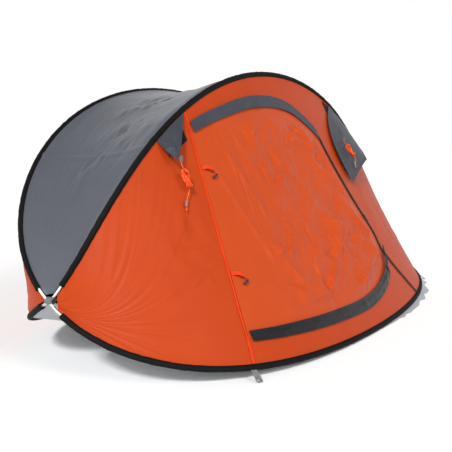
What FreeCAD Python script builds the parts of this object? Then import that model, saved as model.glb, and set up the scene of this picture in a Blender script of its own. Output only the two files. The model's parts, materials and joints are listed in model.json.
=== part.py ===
"""Pop-up tent on two sprung pole hoops, in millimetres.

X runs along the tent, the door faces -Y, +Z is up, and the origin is on the ground, midway
between the two places where the hoops cross.
Each hoop lies along the ground on one side and arches over on the other, and the two cross at the
ends. The fabric is stretched between them: two walls, a roof and a raised-edge groundsheet.
"""

import FreeCAD
import Part

import math
import os

from FreeCAD import Vector

# Hoops
HALF_LENGTH = 1225.0
CROSSING_STEP = 7.0
OUTER_FOOT = 634.0
REAR_ARCH_HEIGHT = 970.0
REAR_ARCH_LEAN = 111.0
INNER_FOOT = 850.0
REAR_FOOT = 520.0
REAR_SPREAD = 0.68
REAR_SETTLING = 0.90
FRONT_ARCH_HEIGHT = 1012.0
FRONT_ARCH_LEAN = -299.0
RISE_START = 0.30
RISE_SOFTNESS = 0.90
SPLAY_SOFTNESS = 1.453
PLAN_SQUARENESS = 0.052
GROUND_FLATNESS = 0.032
ARCH_FLATNESS = -0.035
ROD_RADIUS = 4.0
FERRULE_RADIUS = 5.2
FERRULE_LENGTH = 46.0
FERRULE_WALK = 42.0
ROD_END_GAP = 0.0006
SLEEVE_RADIUS = 10.0
SLEEVE_WALL = 1.2
SLEEVE_START = 62.0
RUNS_PER_HALF = 36
GROUND_CLEARANCE = 0.5
POLE_HEIGHT = SLEEVE_RADIUS + GROUND_CLEARANCE

# Fabric
FABRIC = 1.4
SEWING_GAP = 2.2
SEAM_GAP = 2.5
SEWN_GAP = 0.6
WALL_DEPTH = 1000.0
SEAM_BOW = 4.0
WALL_BOW = 20.0
ROOF_SAG = 34.0
WALL_END = 1207.0
ROOF_SEAM = 930.0
FLOOR_SCALE_X = 0.60
FLOOR_SCALE_Y = 0.90
FLOOR_POINTS = 24
SKIRT_START = 0.030

# Door: places on the wall are (x, share of the way up from the ground hoop to the arch)
SEAM_FOOT_X = -890.0
SEAM_HEAD_X = -730.0
DOOR_TOP = ((-530.0, 0.911), (-300.0, 0.902), (-45.0, 0.871), (90.0, 0.815), (175.0, 0.760))
DOOR_RIGHT = ((191.0, 0.669), (232.0, 0.522), (265.0, 0.432), (304.0, 0.320), (300.0, 0.235))
DOOR_BOTTOM = ((180.0, 0.140), (-100.0, 0.085), (-440.0, 0.084), (-720.0, 0.097))
DOOR_HEAD_LEVEL = 0.930
DOOR_FOOT_LEVEL = 0.110
SILL_END_X = 480.0
FLAP_WIDTH_LEVEL = 0.046
FLAP_LIFT = 3.4
TAPE_HALF_WIDTH = 12.0
TAPE_DEPTH = 3.0
RIBBON_WIDTH = 8.0
RIBBON_LIFT = 1.9
SLIDER_SIZE = (9.0, 4.0, 15.0)
SLIDER_LIFT = 7.0
SLIDER_LOW = 0.300
SLIDER_HIGH = 0.640
PULLER_SIZE = (5.0, 1.8, 30.0)

# Vent hoods: each corner is (x, share of the way up the wall, distance out from the wall)
LEFT_HOOD = ((-896.0, 0.995, 3.5), (-748.0, 0.995, 3.5), (-884.0, 0.874, 44.0), (-870.0, 0.874, 46.0))
RIGHT_HOOD = ((545.0, 0.995, 3.5), (925.0, 0.995, 3.5), (318.0, 0.547, 18.0), (600.0, 0.688, 64.0))
LEFT_MESH = (-872.0, -778.0, 0.90, 0.985)
RIGHT_MESH = (400.0, 840.0, 0.72, 0.985)
MESH_LIFT = 2.2
TAB_WIDTH = 14.0
TAB_LENGTH = 20.0
TAB_THICKNESS = 2.2
LEFT_TAB = (-877.0, -248.5, 686.0)
RIGHT_TAB = (412.0, -300.0, 757.0)

# Guy lines
GUY_RADIUS = 1.6
HANK_RADIUS = 8.5
LEFT_GUY = ((-877.0, -248.5, 664.8), (-877.0, -249.5, 657.0), (-874.0, -251.0, 649.0))
LEFT_HANK_FOOT = (-870.0, -279.0, 578.0)
LEFT_TAIL = (
    (-870.0, -279.0, 578.0),
    (-871.0, -281.5, 567.0),
    (-884.0, -275.0, 556.0),
    (-903.0, -285.0, 515.0),
)
RIGHT_GUY = (
    (412.0, -300.0, 735.8),
    (409.0, -304.0, 731.5),
    (403.5, -310.6, 726.7),
    (404.0, -315.0, 720.0),
)
RIGHT_HANK_FOOT = (408.0, -347.0, 671.0)
RIGHT_TAIL = (
    (408.0, -347.0, 671.0),
    (408.7, -354.0, 662.0),
    (403.0, -361.0, 650.0),
    (398.0, -367.0, 618.0),
)
RUNNER_SIZE = (9.0, 7.0, 22.0)
RUNNER_PLACE = 0.55
RUNNER_SLACK = 0.05

# Peg straps and door ties
STRAP_WIDTH = 22.0
STRAP_LENGTH = 46.0
STRAP_THICKNESS = 1.8
STRAP_GAP = 1.5
STRAP_X = 905.0
REAR_STRAP_X = 450.0
STRAPS = (
    ("front_left", -STRAP_X, -1),
    ("front_right", STRAP_X, -1),
    ("rear_left", -REAR_STRAP_X, 1),
    ("rear_right", REAR_STRAP_X, 1),
)
EYELET_BORE = 5.0
EYELET_RIM = 7.5
EYELET_THICKNESS = 3.2
TIE_LENGTH = 34.0
TIE_FALL = 0.035
TIE_LIFT = 2.6
TIE_LEVELS = {"upper": 0.775, "lower": 0.365}
TOGGLE_RADIUS = 4.0
TOGGLE_LENGTH = 24.0
TOGGLE_LIFT = 8.0
WRAP_SIZE = (30.0, 18.0, 24.0)
WRAP_GAP = 2.0


def ramp(value, softness):
    """A line that bends smoothly from flat to rising."""
    return 0.5 * (value + math.hypot(value, softness))


def rise(up):
    """Share of an arch's height, for up from -1 at the ground's middle to +1 at the apex."""
    low = ramp(-1.0 - RISE_START, RISE_SOFTNESS)
    high = ramp(1.0 - RISE_START, RISE_SOFTNESS)
    return (ramp(up - RISE_START, RISE_SOFTNESS) - low) / (high - low)


def hoop(angle, half_length, foot, height, lean, side):
    """A point on a hoop: angle 0 is the right end, 90 degrees the apex, 270 the ground's middle."""
    sine = math.sin(angle)
    flat = GROUND_FLATNESS if sine < 0 else ARCH_FLATNESS
    up = (sine + flat * math.sin(3 * angle)) / (1 - flat)
    x = math.cos(angle) - PLAN_SQUARENESS * math.cos(3 * angle)
    x *= half_length / (1 - PLAN_SQUARENESS)
    level = ramp(0.0, SPLAY_SOFTNESS)
    span = ramp(1.0, SPLAY_SOFTNESS) - level
    y = lean * (ramp(up, SPLAY_SOFTNESS) - level) - foot * (ramp(-up, SPLAY_SOFTNESS) - level)
    return Vector(x, side * y / span, POLE_HEIGHT + height * rise(up))


def outer_hoop(angle):
    """Ground pole at the front, arch at the rear."""
    return hoop(angle, HALF_LENGTH + CROSSING_STEP, OUTER_FOOT, REAR_ARCH_HEIGHT, REAR_ARCH_LEAN, 1)


def inner_hoop(angle):
    """Ground pole at the rear, arch at the front."""
    point = hoop(angle, HALF_LENGTH - CROSSING_STEP, INNER_FOOT, FRONT_ARCH_HEIGHT, FRONT_ARCH_LEAN, -1)
    depth = -math.sin(angle)
    if depth > 0:
        point.y = REAR_FOOT * depth * (REAR_SPREAD + (1 - REAR_SPREAD) * depth)
        point.z = POLE_HEIGHT + FRONT_ARCH_HEIGHT * rise(0.0) * (1 - depth) ** REAR_SETTLING
    return point


def front_ground(angle):
    return outer_hoop(-angle)


def rear_ground(angle):
    return inner_hoop(-angle)


def angle_at(x):
    """The angle, from 0 at the right end to 180 degrees, where the hoops are at this x."""
    low, high = 0.0, math.pi
    for _ in range(40):
        middle = 0.5 * (low + high)
        here = HALF_LENGTH * (math.cos(middle) - PLAN_SQUARENESS * math.cos(3 * middle))
        if here / (1 - PLAN_SQUARENESS) > x:
            low = middle
        else:
            high = middle
    return 0.5 * (low + high)


def clearance(pole, angle, toward):
    """How far along a direction a fabric's edge is from a pole's axis, to clear its sleeve."""
    along = pole(angle + 0.001) - pole(angle - 0.001)
    return (SLEEVE_RADIUS + SEWING_GAP) / math.sin(along.getAngle(toward))


def between(start, end, angle, share):
    """A point between two poles, with share 0 and 1 just clear of each one's sleeve."""
    line = end(angle) - start(angle)
    first, last = clearance(start, angle, line), clearance(end, angle, line)
    run = line.Length - first - last
    return start(angle) + line * ((first + run * share) / line.Length)


def bow(x, share):
    """How far tension draws a wall in between its two sleeves, least beside the hinge seam."""
    ease = min(max(1 - x / SEAM_HEAD_X, 0.0), 1.0)
    depth = SEAM_BOW + (WALL_BOW - SEAM_BOW) * ease * ease * (3 - 2 * ease)
    return depth * 4 * share * (1 - share) * (1 - abs(x / HALF_LENGTH) ** 6)


def front_wall(x, share):
    """The front wall's middle surface, drawn in a little by the tension."""
    angle = angle_at(x)
    low, high = front_ground(angle), inner_hoop(angle)
    inward = Vector(0, high.z - low.z, low.y - high.y).normalize()
    return between(front_ground, inner_hoop, angle, share) + inward * bow(x, share)


def rear_wall(x, share):
    angle = angle_at(x)
    low, high = rear_ground(angle), outer_hoop(angle)
    inward = Vector(0, low.z - high.z, high.y - low.y).normalize()
    return between(rear_ground, outer_hoop, angle, share) + inward * bow(x, share)


def roof(x, share):
    """The roof, from the front arch (0) to the rear one (1), saddle-shaped between them."""
    slack = ROOF_SAG * 4 * share * (1 - share) * (1 - abs(x / HALF_LENGTH) ** 4)
    drop = Vector(0.35 * slack * x / HALF_LENGTH, 0, slack)
    return between(inner_hoop, outer_hoop, angle_at(x), share) - drop


def floor_edge(pole, angle):
    """The edge of the groundsheet's flat middle, a shorter, narrower copy of the ground poles."""
    point = pole(angle)
    return Vector(FLOOR_SCALE_X * point.x, FLOOR_SCALE_Y * point.y, 0)


def floor_side(pole):
    """The groundsheet's turned-up side, from its flat middle (w 0) to a ground pole (w 1)."""

    def at(u, w):
        angle = SKIRT_START + (math.pi - 2 * SKIRT_START) * u
        edge = floor_edge(pole, angle)
        foot = edge * (1 + SEAM_GAP / edge.Length) + Vector(0, 0, FABRIC / 2)
        run = pole(angle) - foot
        return foot + run * (w * (1 - clearance(pole, angle, run) / run.Length))

    return at


def seam_x(share):
    """Where the hinge seam is at this share, so that it is straight as seen from the front."""
    foot, head = front_wall(SEAM_FOOT_X, 0.0), front_wall(SEAM_HEAD_X, 1.0)
    x = SEAM_FOOT_X
    for _ in range(6):
        height = (front_wall(x, share).z - foot.z) / (head.z - foot.z)
        x = SEAM_FOOT_X + (SEAM_HEAD_X - SEAM_FOOT_X) * height
    return x


def smooth(start, end, leaving, arriving, f):
    """A value a fraction f of the way from start to end, with given slopes at both."""
    turn = 3 * (end - start) - 2 * leaving - arriving
    return start + f * (leaving + f * (turn + f * (leaving + arriving - 2 * (end - start))))


def curve(points, first=0, end=None):
    """A smooth line through flat (x, share) points, as a function of 0 to 1 along its length.

    With first and end, only the stretch between those two points is used.
    """
    knots = [0.0]
    for (x, share), (next_x, next_share) in zip(points, points[1:]):
        knots.append(knots[-1] + math.hypot(next_x - x, WALL_DEPTH * (next_share - share)))
    last = len(points) - 1
    start, stop = knots[first], knots[last if end is None else end]

    def slope(k, axis):
        low, high = max(k - 1, 0), min(k + 1, last)
        return (points[high][axis] - points[low][axis]) / (knots[high] - knots[low])

    def at(t):
        place = start + min(max(t, 0.0), 1.0) * (stop - start)
        k = next((k for k in range(last) if place <= knots[k + 1]), last - 1)
        h = knots[k + 1] - knots[k]
        spot = []
        for axis in (0, 1):
            slopes = h * slope(k, axis), h * slope(k + 1, axis)
            spot.append(smooth(points[k][axis], points[k + 1][axis], *slopes, (place - knots[k]) / h))
        return tuple(spot)

    return at


def line(start, end):
    return lambda t: tuple(a + (b - a) * t for a, b in zip(start, end))


def seam_line(start, end, shift=0.0):
    """Part of the door's hinge seam, moved sideways by shift."""
    return lambda t: (seam_x(start + (end - start) * t) + shift, start + (end - start) * t)


def region(left, right, bottom, top):
    """Fills four border lines: returns (x, share) for u across and w up."""

    def at(u, w):
        place = []
        for axis in (0, 1):
            across = (1 - u) * left(w)[axis] + u * right(w)[axis]
            up = (1 - w) * bottom(u)[axis] + w * top(u)[axis]
            low = (1 - u) * bottom(0)[axis] + u * bottom(1)[axis]
            high = (1 - u) * top(0)[axis] + u * top(1)[axis]
            place.append(across + up - (1 - w) * low - w * high)
        return place

    return at


def surface_normal(surface, u, w):
    step = 1e-3
    across = surface(min(u + step, 1), w) - surface(max(u - step, 0), w)
    up = surface(u, min(w + step, 1)) - surface(u, max(w - step, 0))
    return across.cross(up).normalize()


def sheet(surface, columns, rows, thickness=FABRIC, lift=0.0):
    """A thin closed solid about a surface given as a function of u and w from 0 to 1."""
    sides = ([], [])
    for i in range(columns + 1):
        u = i / columns
        pair = ([], [])
        for j in range(rows + 1):
            w = j / rows
            point = surface(u, w)
            normal = surface_normal(surface, u, w)
            pair[0].append(point + normal * (lift + thickness / 2))
            pair[1].append(point + normal * (lift - thickness / 2))
        sides[0].append(pair[0])
        sides[1].append(pair[1])
    faces = []
    for grid in sides:
        patch = Part.BSplineSurface()
        patch.interpolate(grid)
        faces.append(patch.toShape())
    rims = [Part.makeRuledSurface(a, b) for a, b in zip(faces[0].Edges, faces[1].Edges)]
    shell = Part.Shell(faces + rims)
    shell.sewShape()
    solid = Part.Solid(shell)
    if solid.Volume < 0:
        solid.reverse()
    return solid


def on_front(area):
    """A front wall surface over a region, drawn in from its borders by half the seam gap."""

    def at(u, w):
        wide = (front_wall(*area(1, w)) - front_wall(*area(0, w))).Length
        tall = (front_wall(*area(u, 1)) - front_wall(*area(u, 0))).Length
        across, up = SEAM_GAP / 2 / wide, SEAM_GAP / 2 / tall
        return front_wall(*area(across + u * (1 - 2 * across), up + w * (1 - 2 * up)))

    return at


def strip_on(surface, x_low, x_high, low=0.0, high=1.0):
    """The part of a wall or roof between two x, spaced evenly in the hoops' angle."""
    first, last = angle_at(x_low), angle_at(x_high)

    def at(u, w):
        angle = first + (last - first) * u
        x = HALF_LENGTH * (math.cos(angle) - PLAN_SQUARENESS * math.cos(3 * angle)) / (1 - PLAN_SQUARENESS)
        return surface(x, low + (high - low) * w)

    return at


def route(points):
    """A path of straight runs joined by arcs as large as the runs allow, and its radii."""
    edges, radii = [], []
    start = points[0]
    for before, corner, after in zip(points, points[1:], points[2:]):
        arriving = (corner - before).normalize()
        leaving = (after - corner).normalize()
        turn = arriving.getAngle(leaving)
        reach = 0.45 * min((corner - before).Length, (after - corner).Length)
        radii.append(reach / math.tan(turn / 2))
        first = corner - arriving * reach
        last = corner + leaving * reach
        inward = (leaving - arriving).normalize()
        middle = corner + inward * (radii[-1] / math.cos(turn / 2) - radii[-1])
        edges.append(Part.LineSegment(start, first).toShape())
        edges.append(Part.Arc(first, middle, last).toShape())
        start = last
    edges.append(Part.LineSegment(start, points[-1]).toShape())
    return Part.Wire(edges), radii


def tube(points, radius):
    wire, _ = route(points)
    section = Part.Wire([Part.makeCircle(radius, points[0], points[1] - points[0])])
    return wire.makePipeShell([section], True, False)


def hollow_tube(points, radius, bore):
    return tube(points, radius).cut(tube(points, bore))


def walk(pole, angle, distance):
    """The angle reached by walking along a pole; a negative distance walks backwards."""
    step = math.copysign(0.0005, distance)
    done = 0.0
    while done < abs(distance):
        done += (pole(angle + step) - pole(angle)).Length
        angle += step
    return angle


def stations(pole, first, last, count=RUNS_PER_HALF):
    return [pole(first + (last - first) * k / count) for k in range(count + 1)]


def pole_spans(pole):
    """Angles where a pole's two sleeves and its two ferrules begin and end."""
    near = {"ground": walk(pole, 0, -SLEEVE_START), "arch": walk(pole, 0, SLEEVE_START)}
    far = {"ground": walk(pole, math.pi, SLEEVE_START), "arch": walk(pole, math.pi, -SLEEVE_START)}
    joint = (walk(pole, 0, -FERRULE_WALK), walk(pole, math.pi, FERRULE_WALK))
    return near, far, joint


def build_hoop(name, ground_side, arch_side, pole):
    """One hoop: two rods in their sleeves, and two ferrules that join them near the ends."""
    near, far, joint = pole_spans(pole)
    ground = stations(pole, joint[0] - ROD_END_GAP, joint[1] - 2 * math.pi + ROD_END_GAP)
    arch = stations(pole, joint[0] + ROD_END_GAP, joint[1] - ROD_END_GAP)
    ground_sleeve = stations(pole, near["ground"], far["ground"] - 2 * math.pi)
    arch_sleeve = stations(pole, near["arch"], far["arch"])
    bore = SLEEVE_RADIUS - SLEEVE_WALL
    parts = {
        f"rod_ground_{ground_side}": tube(ground, ROD_RADIUS),
        f"rod_arch_{arch_side}": tube(arch, ROD_RADIUS),
        f"sleeve_ground_{ground_side}": hollow_tube(ground_sleeve, SLEEVE_RADIUS, bore),
        f"sleeve_arch_{arch_side}": hollow_tube(arch_sleeve, SLEEVE_RADIUS, bore),
    }
    for end in ("right", "left"):
        one, other = (ground[:3], arch[:3]) if end == "right" else (ground[:-4:-1], arch[:-4:-1])
        parts[f"ferrule_{name}_{end}"] = ferrule(one, other)
    return parts


def ferrule(one, other):
    """A metal tube over the meeting ends of two rods, each given by its first three points."""
    half = FERRULE_LENGTH / 2
    middle = (one[0] + other[0]) * 0.5
    first = middle + (one[1] - one[0]).normalize() * half
    last = middle + (other[1] - other[0]).normalize() * half
    barrel = tube([first, middle, last], FERRULE_RADIUS)
    for points in (one, other):
        barrel = barrel.cut(tube([middle] + points[1:], ROD_RADIUS + 0.05))
    return barrel


def side_points():
    """The line down the right side of the door, from the ground up to the arch."""
    head_x = DOOR_TOP[-1][0]
    return [(SILL_END_X, 0.0), *DOOR_RIGHT[::-1], DOOR_TOP[-1], (head_x, 1.0)]


def door_outline():
    """The door's four borders: hinge seam, right zip, foot and head, as (x, share) lines."""
    head_left = (seam_x(DOOR_HEAD_LEVEL), DOOR_HEAD_LEVEL)
    foot_left = (seam_x(DOOR_FOOT_LEVEL), DOOR_FOOT_LEVEL)
    top = curve([head_left, *DOOR_TOP])
    right = curve(side_points(), 1, len(DOOR_RIGHT) + 1)
    bottom = curve([foot_left, *DOOR_BOTTOM[::-1], DOOR_RIGHT[-1]])
    return seam_line(DOOR_FOOT_LEVEL, DOOR_HEAD_LEVEL), right, bottom, top


def build_front():
    """The front wall's fixed panels round the door, and the door itself."""
    left, right, bottom, top = door_outline()
    head_end, side = DOOR_TOP[-1], side_points()
    header = region(
        seam_line(DOOR_HEAD_LEVEL, 1.0),
        curve(side, len(side) - 2),
        top,
        line((SEAM_HEAD_X, 1.0), (head_end[0], 1.0)),
    )
    sill = region(
        seam_line(0.0, DOOR_FOOT_LEVEL),
        curve(side, 0, 1),
        line((SEAM_FOOT_X, 0.0), (SILL_END_X, 0.0)),
        bottom,
    )
    right_panel = region(
        curve(side),
        line((WALL_END, 0.0), (WALL_END, 1.0)),
        line((SILL_END_X, 0.0), (WALL_END, 0.0)),
        line((head_end[0], 1.0), (WALL_END, 1.0)),
    )
    left_panel = region(
        line((-WALL_END, 0.0), (-WALL_END, 1.0)),
        seam_line(0.0, 1.0),
        line((-WALL_END, 0.0), (SEAM_FOOT_X, 0.0)),
        line((-WALL_END, 1.0), (SEAM_HEAD_X, 1.0)),
    )
    return {
        "wall_front_left": sheet(on_front(left_panel), 12, 10),
        "wall_front_right": sheet(on_front(right_panel), 20, 44),
        "wall_front_header": sheet(on_front(header), 16, 6),
        "wall_front_sill": sheet(on_front(sill), 26, 8),
        "door_panel": sheet(on_front(region(left, right, bottom, top)), 26, 24),
    }


def band(middle, low, high, start=0.0, end=1.0):
    """A strip along a door border, from low to high in share beside it."""

    def at(u, w):
        x, share = middle(start + (end - start) * u)
        return x, share + low + (high - low) * w

    return at


def build_door_trim():
    """The storm flaps over the zip, the zip tape behind it, and the ribbon on the hinge seam."""
    left, right, bottom, top = door_outline()
    half = FLAP_WIDTH_LEVEL / 2
    flap_top = band(top, -half, half, 0.01, 1.0)
    flap_foot = band(bottom, -half * 0.8, half * 1.1, 0.01, 1.0)

    def tape(u, w):
        x, share = right(0.03 + 0.94 * w)
        return front_wall(x + TAPE_HALF_WIDTH * (2 * u - 1), share)

    def ribbon(u, w):
        x = seam_x(w) - SEAM_GAP - RIBBON_WIDTH * (1 - u)
        return front_wall(x, 0.004 + 0.992 * w)

    return {
        "flap_top": sheet(lambda u, w: front_wall(*flap_top(u, w)), 24, 3, FABRIC, FLAP_LIFT),
        "flap_foot": sheet(lambda u, w: front_wall(*flap_foot(u, w)), 24, 3, FABRIC, FLAP_LIFT),
        "zip_tape": sheet(tape, 3, 14, FABRIC, -TAPE_DEPTH),
        "seam_ribbon": sheet(ribbon, 2, 14, 1.0, RIBBON_LIFT),
    }


def build_zip():
    """The zip slider near the foot of the door's right side, with its puller."""
    low, high = zip_line()
    along = (high - low).normalize()
    outward = wall_outward()
    across = along.cross(outward).normalize()
    height = SLIDER_SIZE[1]
    slider = oriented_box(low, across, outward, along, SLIDER_SIZE)
    _, thickness, drop = PULLER_SIZE
    centre = low + outward * (height / 2 + 0.3 + thickness / 2) - along * (drop / 2)
    return {
        "zip_slider": slider,
        "zip_puller": oriented_box(centre, across, outward, along, PULLER_SIZE),
    }


def wall_outward():
    """The front wall's outward direction beside the zip."""
    _, right, _, _ = door_outline()
    x, share = right(0.5)
    across = front_wall(x + 20, share) - front_wall(x - 20, share)
    up = front_wall(x, share + 0.02) - front_wall(x, share - 0.02)
    return across.cross(up).normalize()


def zip_line():
    """The slider's straight travel, on the door's side of the zip and clear of the fabric."""
    _, right, _, _ = door_outline()
    ends = []
    for t in (SLIDER_LOW, SLIDER_HIGH):
        x, share = right(t)
        ends.append(front_wall(x - SLIDER_SIZE[0] / 2 - 1, share) + wall_outward() * SLIDER_LIFT)
    return ends


def oriented_box(centre, x_axis, y_axis, z_axis, size):
    box = Part.makeBox(*size, Vector(*(-s / 2 for s in size)))
    turn = FreeCAD.Rotation(x_axis, y_axis, z_axis, "ZXY")
    box.Placement = FreeCAD.Placement(centre, turn)
    return box


def build_floor():
    """The groundsheet: a flat middle, and a turned-up side along each ground pole."""
    last = math.pi - 2 * SKIRT_START
    angles = [2 * SKIRT_START + (last - 2 * SKIRT_START) * k / FLOOR_POINTS for k in range(FLOOR_POINTS + 1)]
    outline = [floor_edge(front_ground, angle) for angle in angles]
    outline += [floor_edge(rear_ground, angle) for angle in angles[::-1]]
    rim = Part.BSplineCurve()
    rim.interpolate(Points=outline, PeriodicFlag=True)
    middle = Part.Face(Part.Wire([rim.toShape()])).extrude(Vector(0, 0, FABRIC))
    return {
        "groundsheet": middle,
        "groundsheet_side_front": sheet(floor_side(front_ground), 36, 4),
        "groundsheet_side_rear": sheet(floor_side(rear_ground), 36, 4),
    }


def build_cover():
    """The roof in three panels and the rear wall."""
    roof_parts = {
        "roof_left": (-WALL_END, -ROOF_SEAM - SEAM_GAP / 2, 10),
        "roof_middle": (-ROOF_SEAM + SEAM_GAP / 2, ROOF_SEAM - SEAM_GAP / 2, 24),
        "roof_right": (ROOF_SEAM + SEAM_GAP / 2, WALL_END, 10),
    }
    parts = {}
    for name, (low, high, columns) in roof_parts.items():
        parts[name] = sheet(strip_on(roof, low, high), columns, 12)
    parts["wall_rear"] = sheet(strip_on(rear_wall, WALL_END, -WALL_END), 30, 10)
    return parts


def wall_point(x, share, lift):
    """A point that stands out from the front wall by lift."""
    out = front_wall(x + 10, share) - front_wall(x - 10, share)
    low, high = max(share - 0.02, 0), min(share + 0.02, 1)
    up = front_wall(x, high) - front_wall(x, low)
    return front_wall(x, share) + out.cross(up).normalize() * lift


def hood(top_low, top_high, foot_low, foot_high, bulge, puff):
    """A vent hood sewn to the arch along its top edge, whose foot stands out from the wall."""

    def at(u, w):
        top = [a + (b - a) * u for a, b in zip(top_low, top_high)]
        foot = [a + (b - a) * u for a, b in zip(foot_low, foot_high)]
        x, share, lift = (f + (t - f) * w for t, f in zip(top, foot))
        side = math.sin(math.pi * w)
        lift += puff * side * math.sin(math.pi * u)
        return wall_point(x - bulge * (1 - u) * side, share, lift)

    return at


def left_hood():
    return hood(*LEFT_HOOD, 4.0, 8.0)


def right_hood():
    return hood(*RIGHT_HOOD, 105.0, 14.0)


def patch_on_wall(x_low, x_high, low, high):
    return lambda u, w: front_wall(x_low + (x_high - x_low) * u, low + (high - low) * w)


def build_vents():
    """Two hoods, the mesh on the wall under each, and the webbing tabs for the guy lines."""
    return {
        "vent_hood_left": sheet(left_hood(), 10, 10),
        "vent_hood_right": sheet(right_hood(), 16, 14),
        "vent_mesh_left": sheet(patch_on_wall(*LEFT_MESH), 4, 4, FABRIC, MESH_LIFT),
        "vent_mesh_right": sheet(patch_on_wall(*RIGHT_MESH), 10, 8, FABRIC, MESH_LIFT),
        "guy_tab_left": tab(LEFT_TAB),
        "guy_tab_right": tab(RIGHT_TAB),
    }


def tab(top):
    """A short webbing tab that hangs from its top, with the guy line sewn to its foot."""
    corner = Vector(*top) - Vector(TAB_WIDTH / 2, TAB_THICKNESS / 2, TAB_LENGTH)
    return Part.makeBox(TAB_WIDTH, TAB_THICKNESS, TAB_LENGTH, corner)


def build_guy(side, points, hank_foot, tail):
    """A guy line: its free stretch, its hank, its tail and the runner on the tail."""
    line_points = [Vector(*p) for p in points]
    tail_points = [Vector(*p) for p in tail]
    start, end = line_points[-1], Vector(*hank_foot)
    gap = (end - start).normalize() * SEWN_GAP
    start, end = start + gap, end - gap
    hank = Part.makeCylinder(HANK_RADIUS, (end - start).Length, start, end - start)
    rims = [edge for edge in hank.Edges if isinstance(edge.Curve, Part.Circle)]
    hank = hank.makeFillet(HANK_RADIUS * 0.5, rims)
    for name, path in (("line", line_points), ("tail", tail_points)):
        _, radii = route(path)
        print(f"guy {side} {name} radii", [round(r, 1) for r in radii])
    straight = tail_points[-1] - tail_points[-2]
    middle = tail_points[-2] + straight * RUNNER_PLACE
    width, depth, length = RUNNER_SIZE
    down = straight.normalize()
    runner = oriented_box(middle, Vector(1, 0, 0), Vector(0, 1, 0), down, (width, depth, length))
    hole = Part.makeCylinder(GUY_RADIUS + RUNNER_SLACK, length * 2, middle - down * length, down)
    return {
        f"guy_{side}": tube(line_points, GUY_RADIUS),
        f"guy_{side}_hank": hank,
        f"guy_{side}_tail": tube(tail_points, GUY_RADIUS),
        f"guy_{side}_runner": runner.cut(hole),
    }


def strap_frame(x, side):
    """Where a peg strap leaves the ground sleeve: its root, and its run, side and face axes."""
    pole = front_ground if side < 0 else rear_ground
    angle = angle_at(x)
    centre = pole(angle)
    tangent = (pole(angle - 0.01) - pole(angle + 0.01)).normalize()
    out = Vector(tangent.y, -tangent.x, 0) if side < 0 else Vector(-tangent.y, tangent.x, 0)
    out.normalize()
    drop = math.asin((centre.z - 3.0) / (SLEEVE_RADIUS + STRAP_LENGTH + 2))
    run = out * math.cos(drop) - Vector(0, 0, math.sin(drop))
    face = run.cross(tangent) if side > 0 else tangent.cross(run)
    if face.z < 0:
        face = face * -1
    return centre + run * (SLEEVE_RADIUS + STRAP_GAP), run, run.cross(face), face


def build_strap(name, x, side):
    """A webbing strap on the ground sleeve, with a metal eyelet for a peg."""
    root, run, across, face = strap_frame(x, side)
    size = (STRAP_WIDTH, STRAP_THICKNESS, STRAP_LENGTH)
    strap = oriented_box(root + run * (STRAP_LENGTH / 2), across, face, run, size)
    hole = root + run * (STRAP_LENGTH - STRAP_WIDTH / 2)
    print(name, "eyelet", hole, "face", face, "root", root, "along", across)
    strap = strap.cut(Part.makeCylinder(EYELET_RIM + 0.05, 20, hole - face * 10, face))
    eyelet = Part.makeCylinder(EYELET_RIM, EYELET_THICKNESS, hole - face * (EYELET_THICKNESS / 2), face)
    bore = Part.makeCylinder(EYELET_BORE, 20, hole - face * 10, face)
    return {f"peg_strap_{name}": strap, f"peg_eyelet_{name}": eyelet.cut(bore)}


def build_ties():
    """Two ribbons on the door's hinge seam that hold the rolled door, each with a toggle."""
    parts = {}
    for name, level in TIE_LEVELS.items():
        root_x = seam_x(level) + 6.0

        def ribbon(u, w, root_x=root_x, level=level):
            fall = TIE_FALL * u
            return wall_point(root_x + TIE_LENGTH * u, level - fall + 0.012 * (w - 0.5), TIE_LIFT)

        parts[f"tie_ribbon_{name}"] = sheet(ribbon, 5, 2, 1.2)
        centre = wall_point(root_x + TIE_LENGTH, level - TIE_FALL - 0.018, TOGGLE_LIFT)
        axis = Vector(0.8, -0.1, 0.45).normalize()
        foot = centre - axis * (TOGGLE_LENGTH / 2)
        toggle = Part.makeCylinder(TOGGLE_RADIUS, TOGGLE_LENGTH, foot, axis)
        rims = [edge for edge in toggle.Edges if isinstance(edge.Curve, Part.Circle)]
        parts[f"tie_toggle_{name}"] = toggle.makeFillet(1.5, rims)
        print(f"toggle {name} centre", centre)
    return parts


def build_crossing_wraps():
    """The webbing wrapped round both hoops where they cross at each end."""
    parts = {}
    for name, angle, toward in (("right", 0.0, 1), ("left", math.pi, -1)):
        centre = (outer_hoop(angle) + inner_hoop(angle)) * 0.5
        size = WRAP_SIZE
        wrap = Part.makeBox(*size, centre - Vector(*size) * 0.5)
        for pole in (outer_hoop, inner_hoop):
            through = [pole(angle + k * 0.0435) for k in (-2, -1, 0, 1, 2)]
            wrap = wrap.cut(tube(through, ROD_RADIUS + WRAP_GAP))
        parts[f"crossing_wrap_{name}"] = wrap
    return parts


def report_lines():
    """Prints the places that the joints and mounts are stated at."""
    foot, head = wall_point(seam_x(0.11), 0.11, 1.0), wall_point(seam_x(0.93), 0.93, 1.0)
    print("door hinge", foot, (head - foot).normalize())
    for share in (0.3, 0.5, 0.7):
        here = wall_point(seam_x(share), share, 1.0)
        print("seam off its chord by", round(here.distanceToLine(foot, head - foot), 2))
    low, high = zip_line()
    print("zip travel", low, (high - low).normalize(), (high - low).Length, wall_outward())
    for name, (first, last, *_) in {"left": LEFT_HOOD, "right": RIGHT_HOOD}.items():
        start, end = wall_point(*first), wall_point(*last)
        crown = wall_point(0.5 * (first[0] + last[0]), 1.0, first[2])
        print(f"hood {name} hinge", crown, (end - start).normalize())


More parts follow.
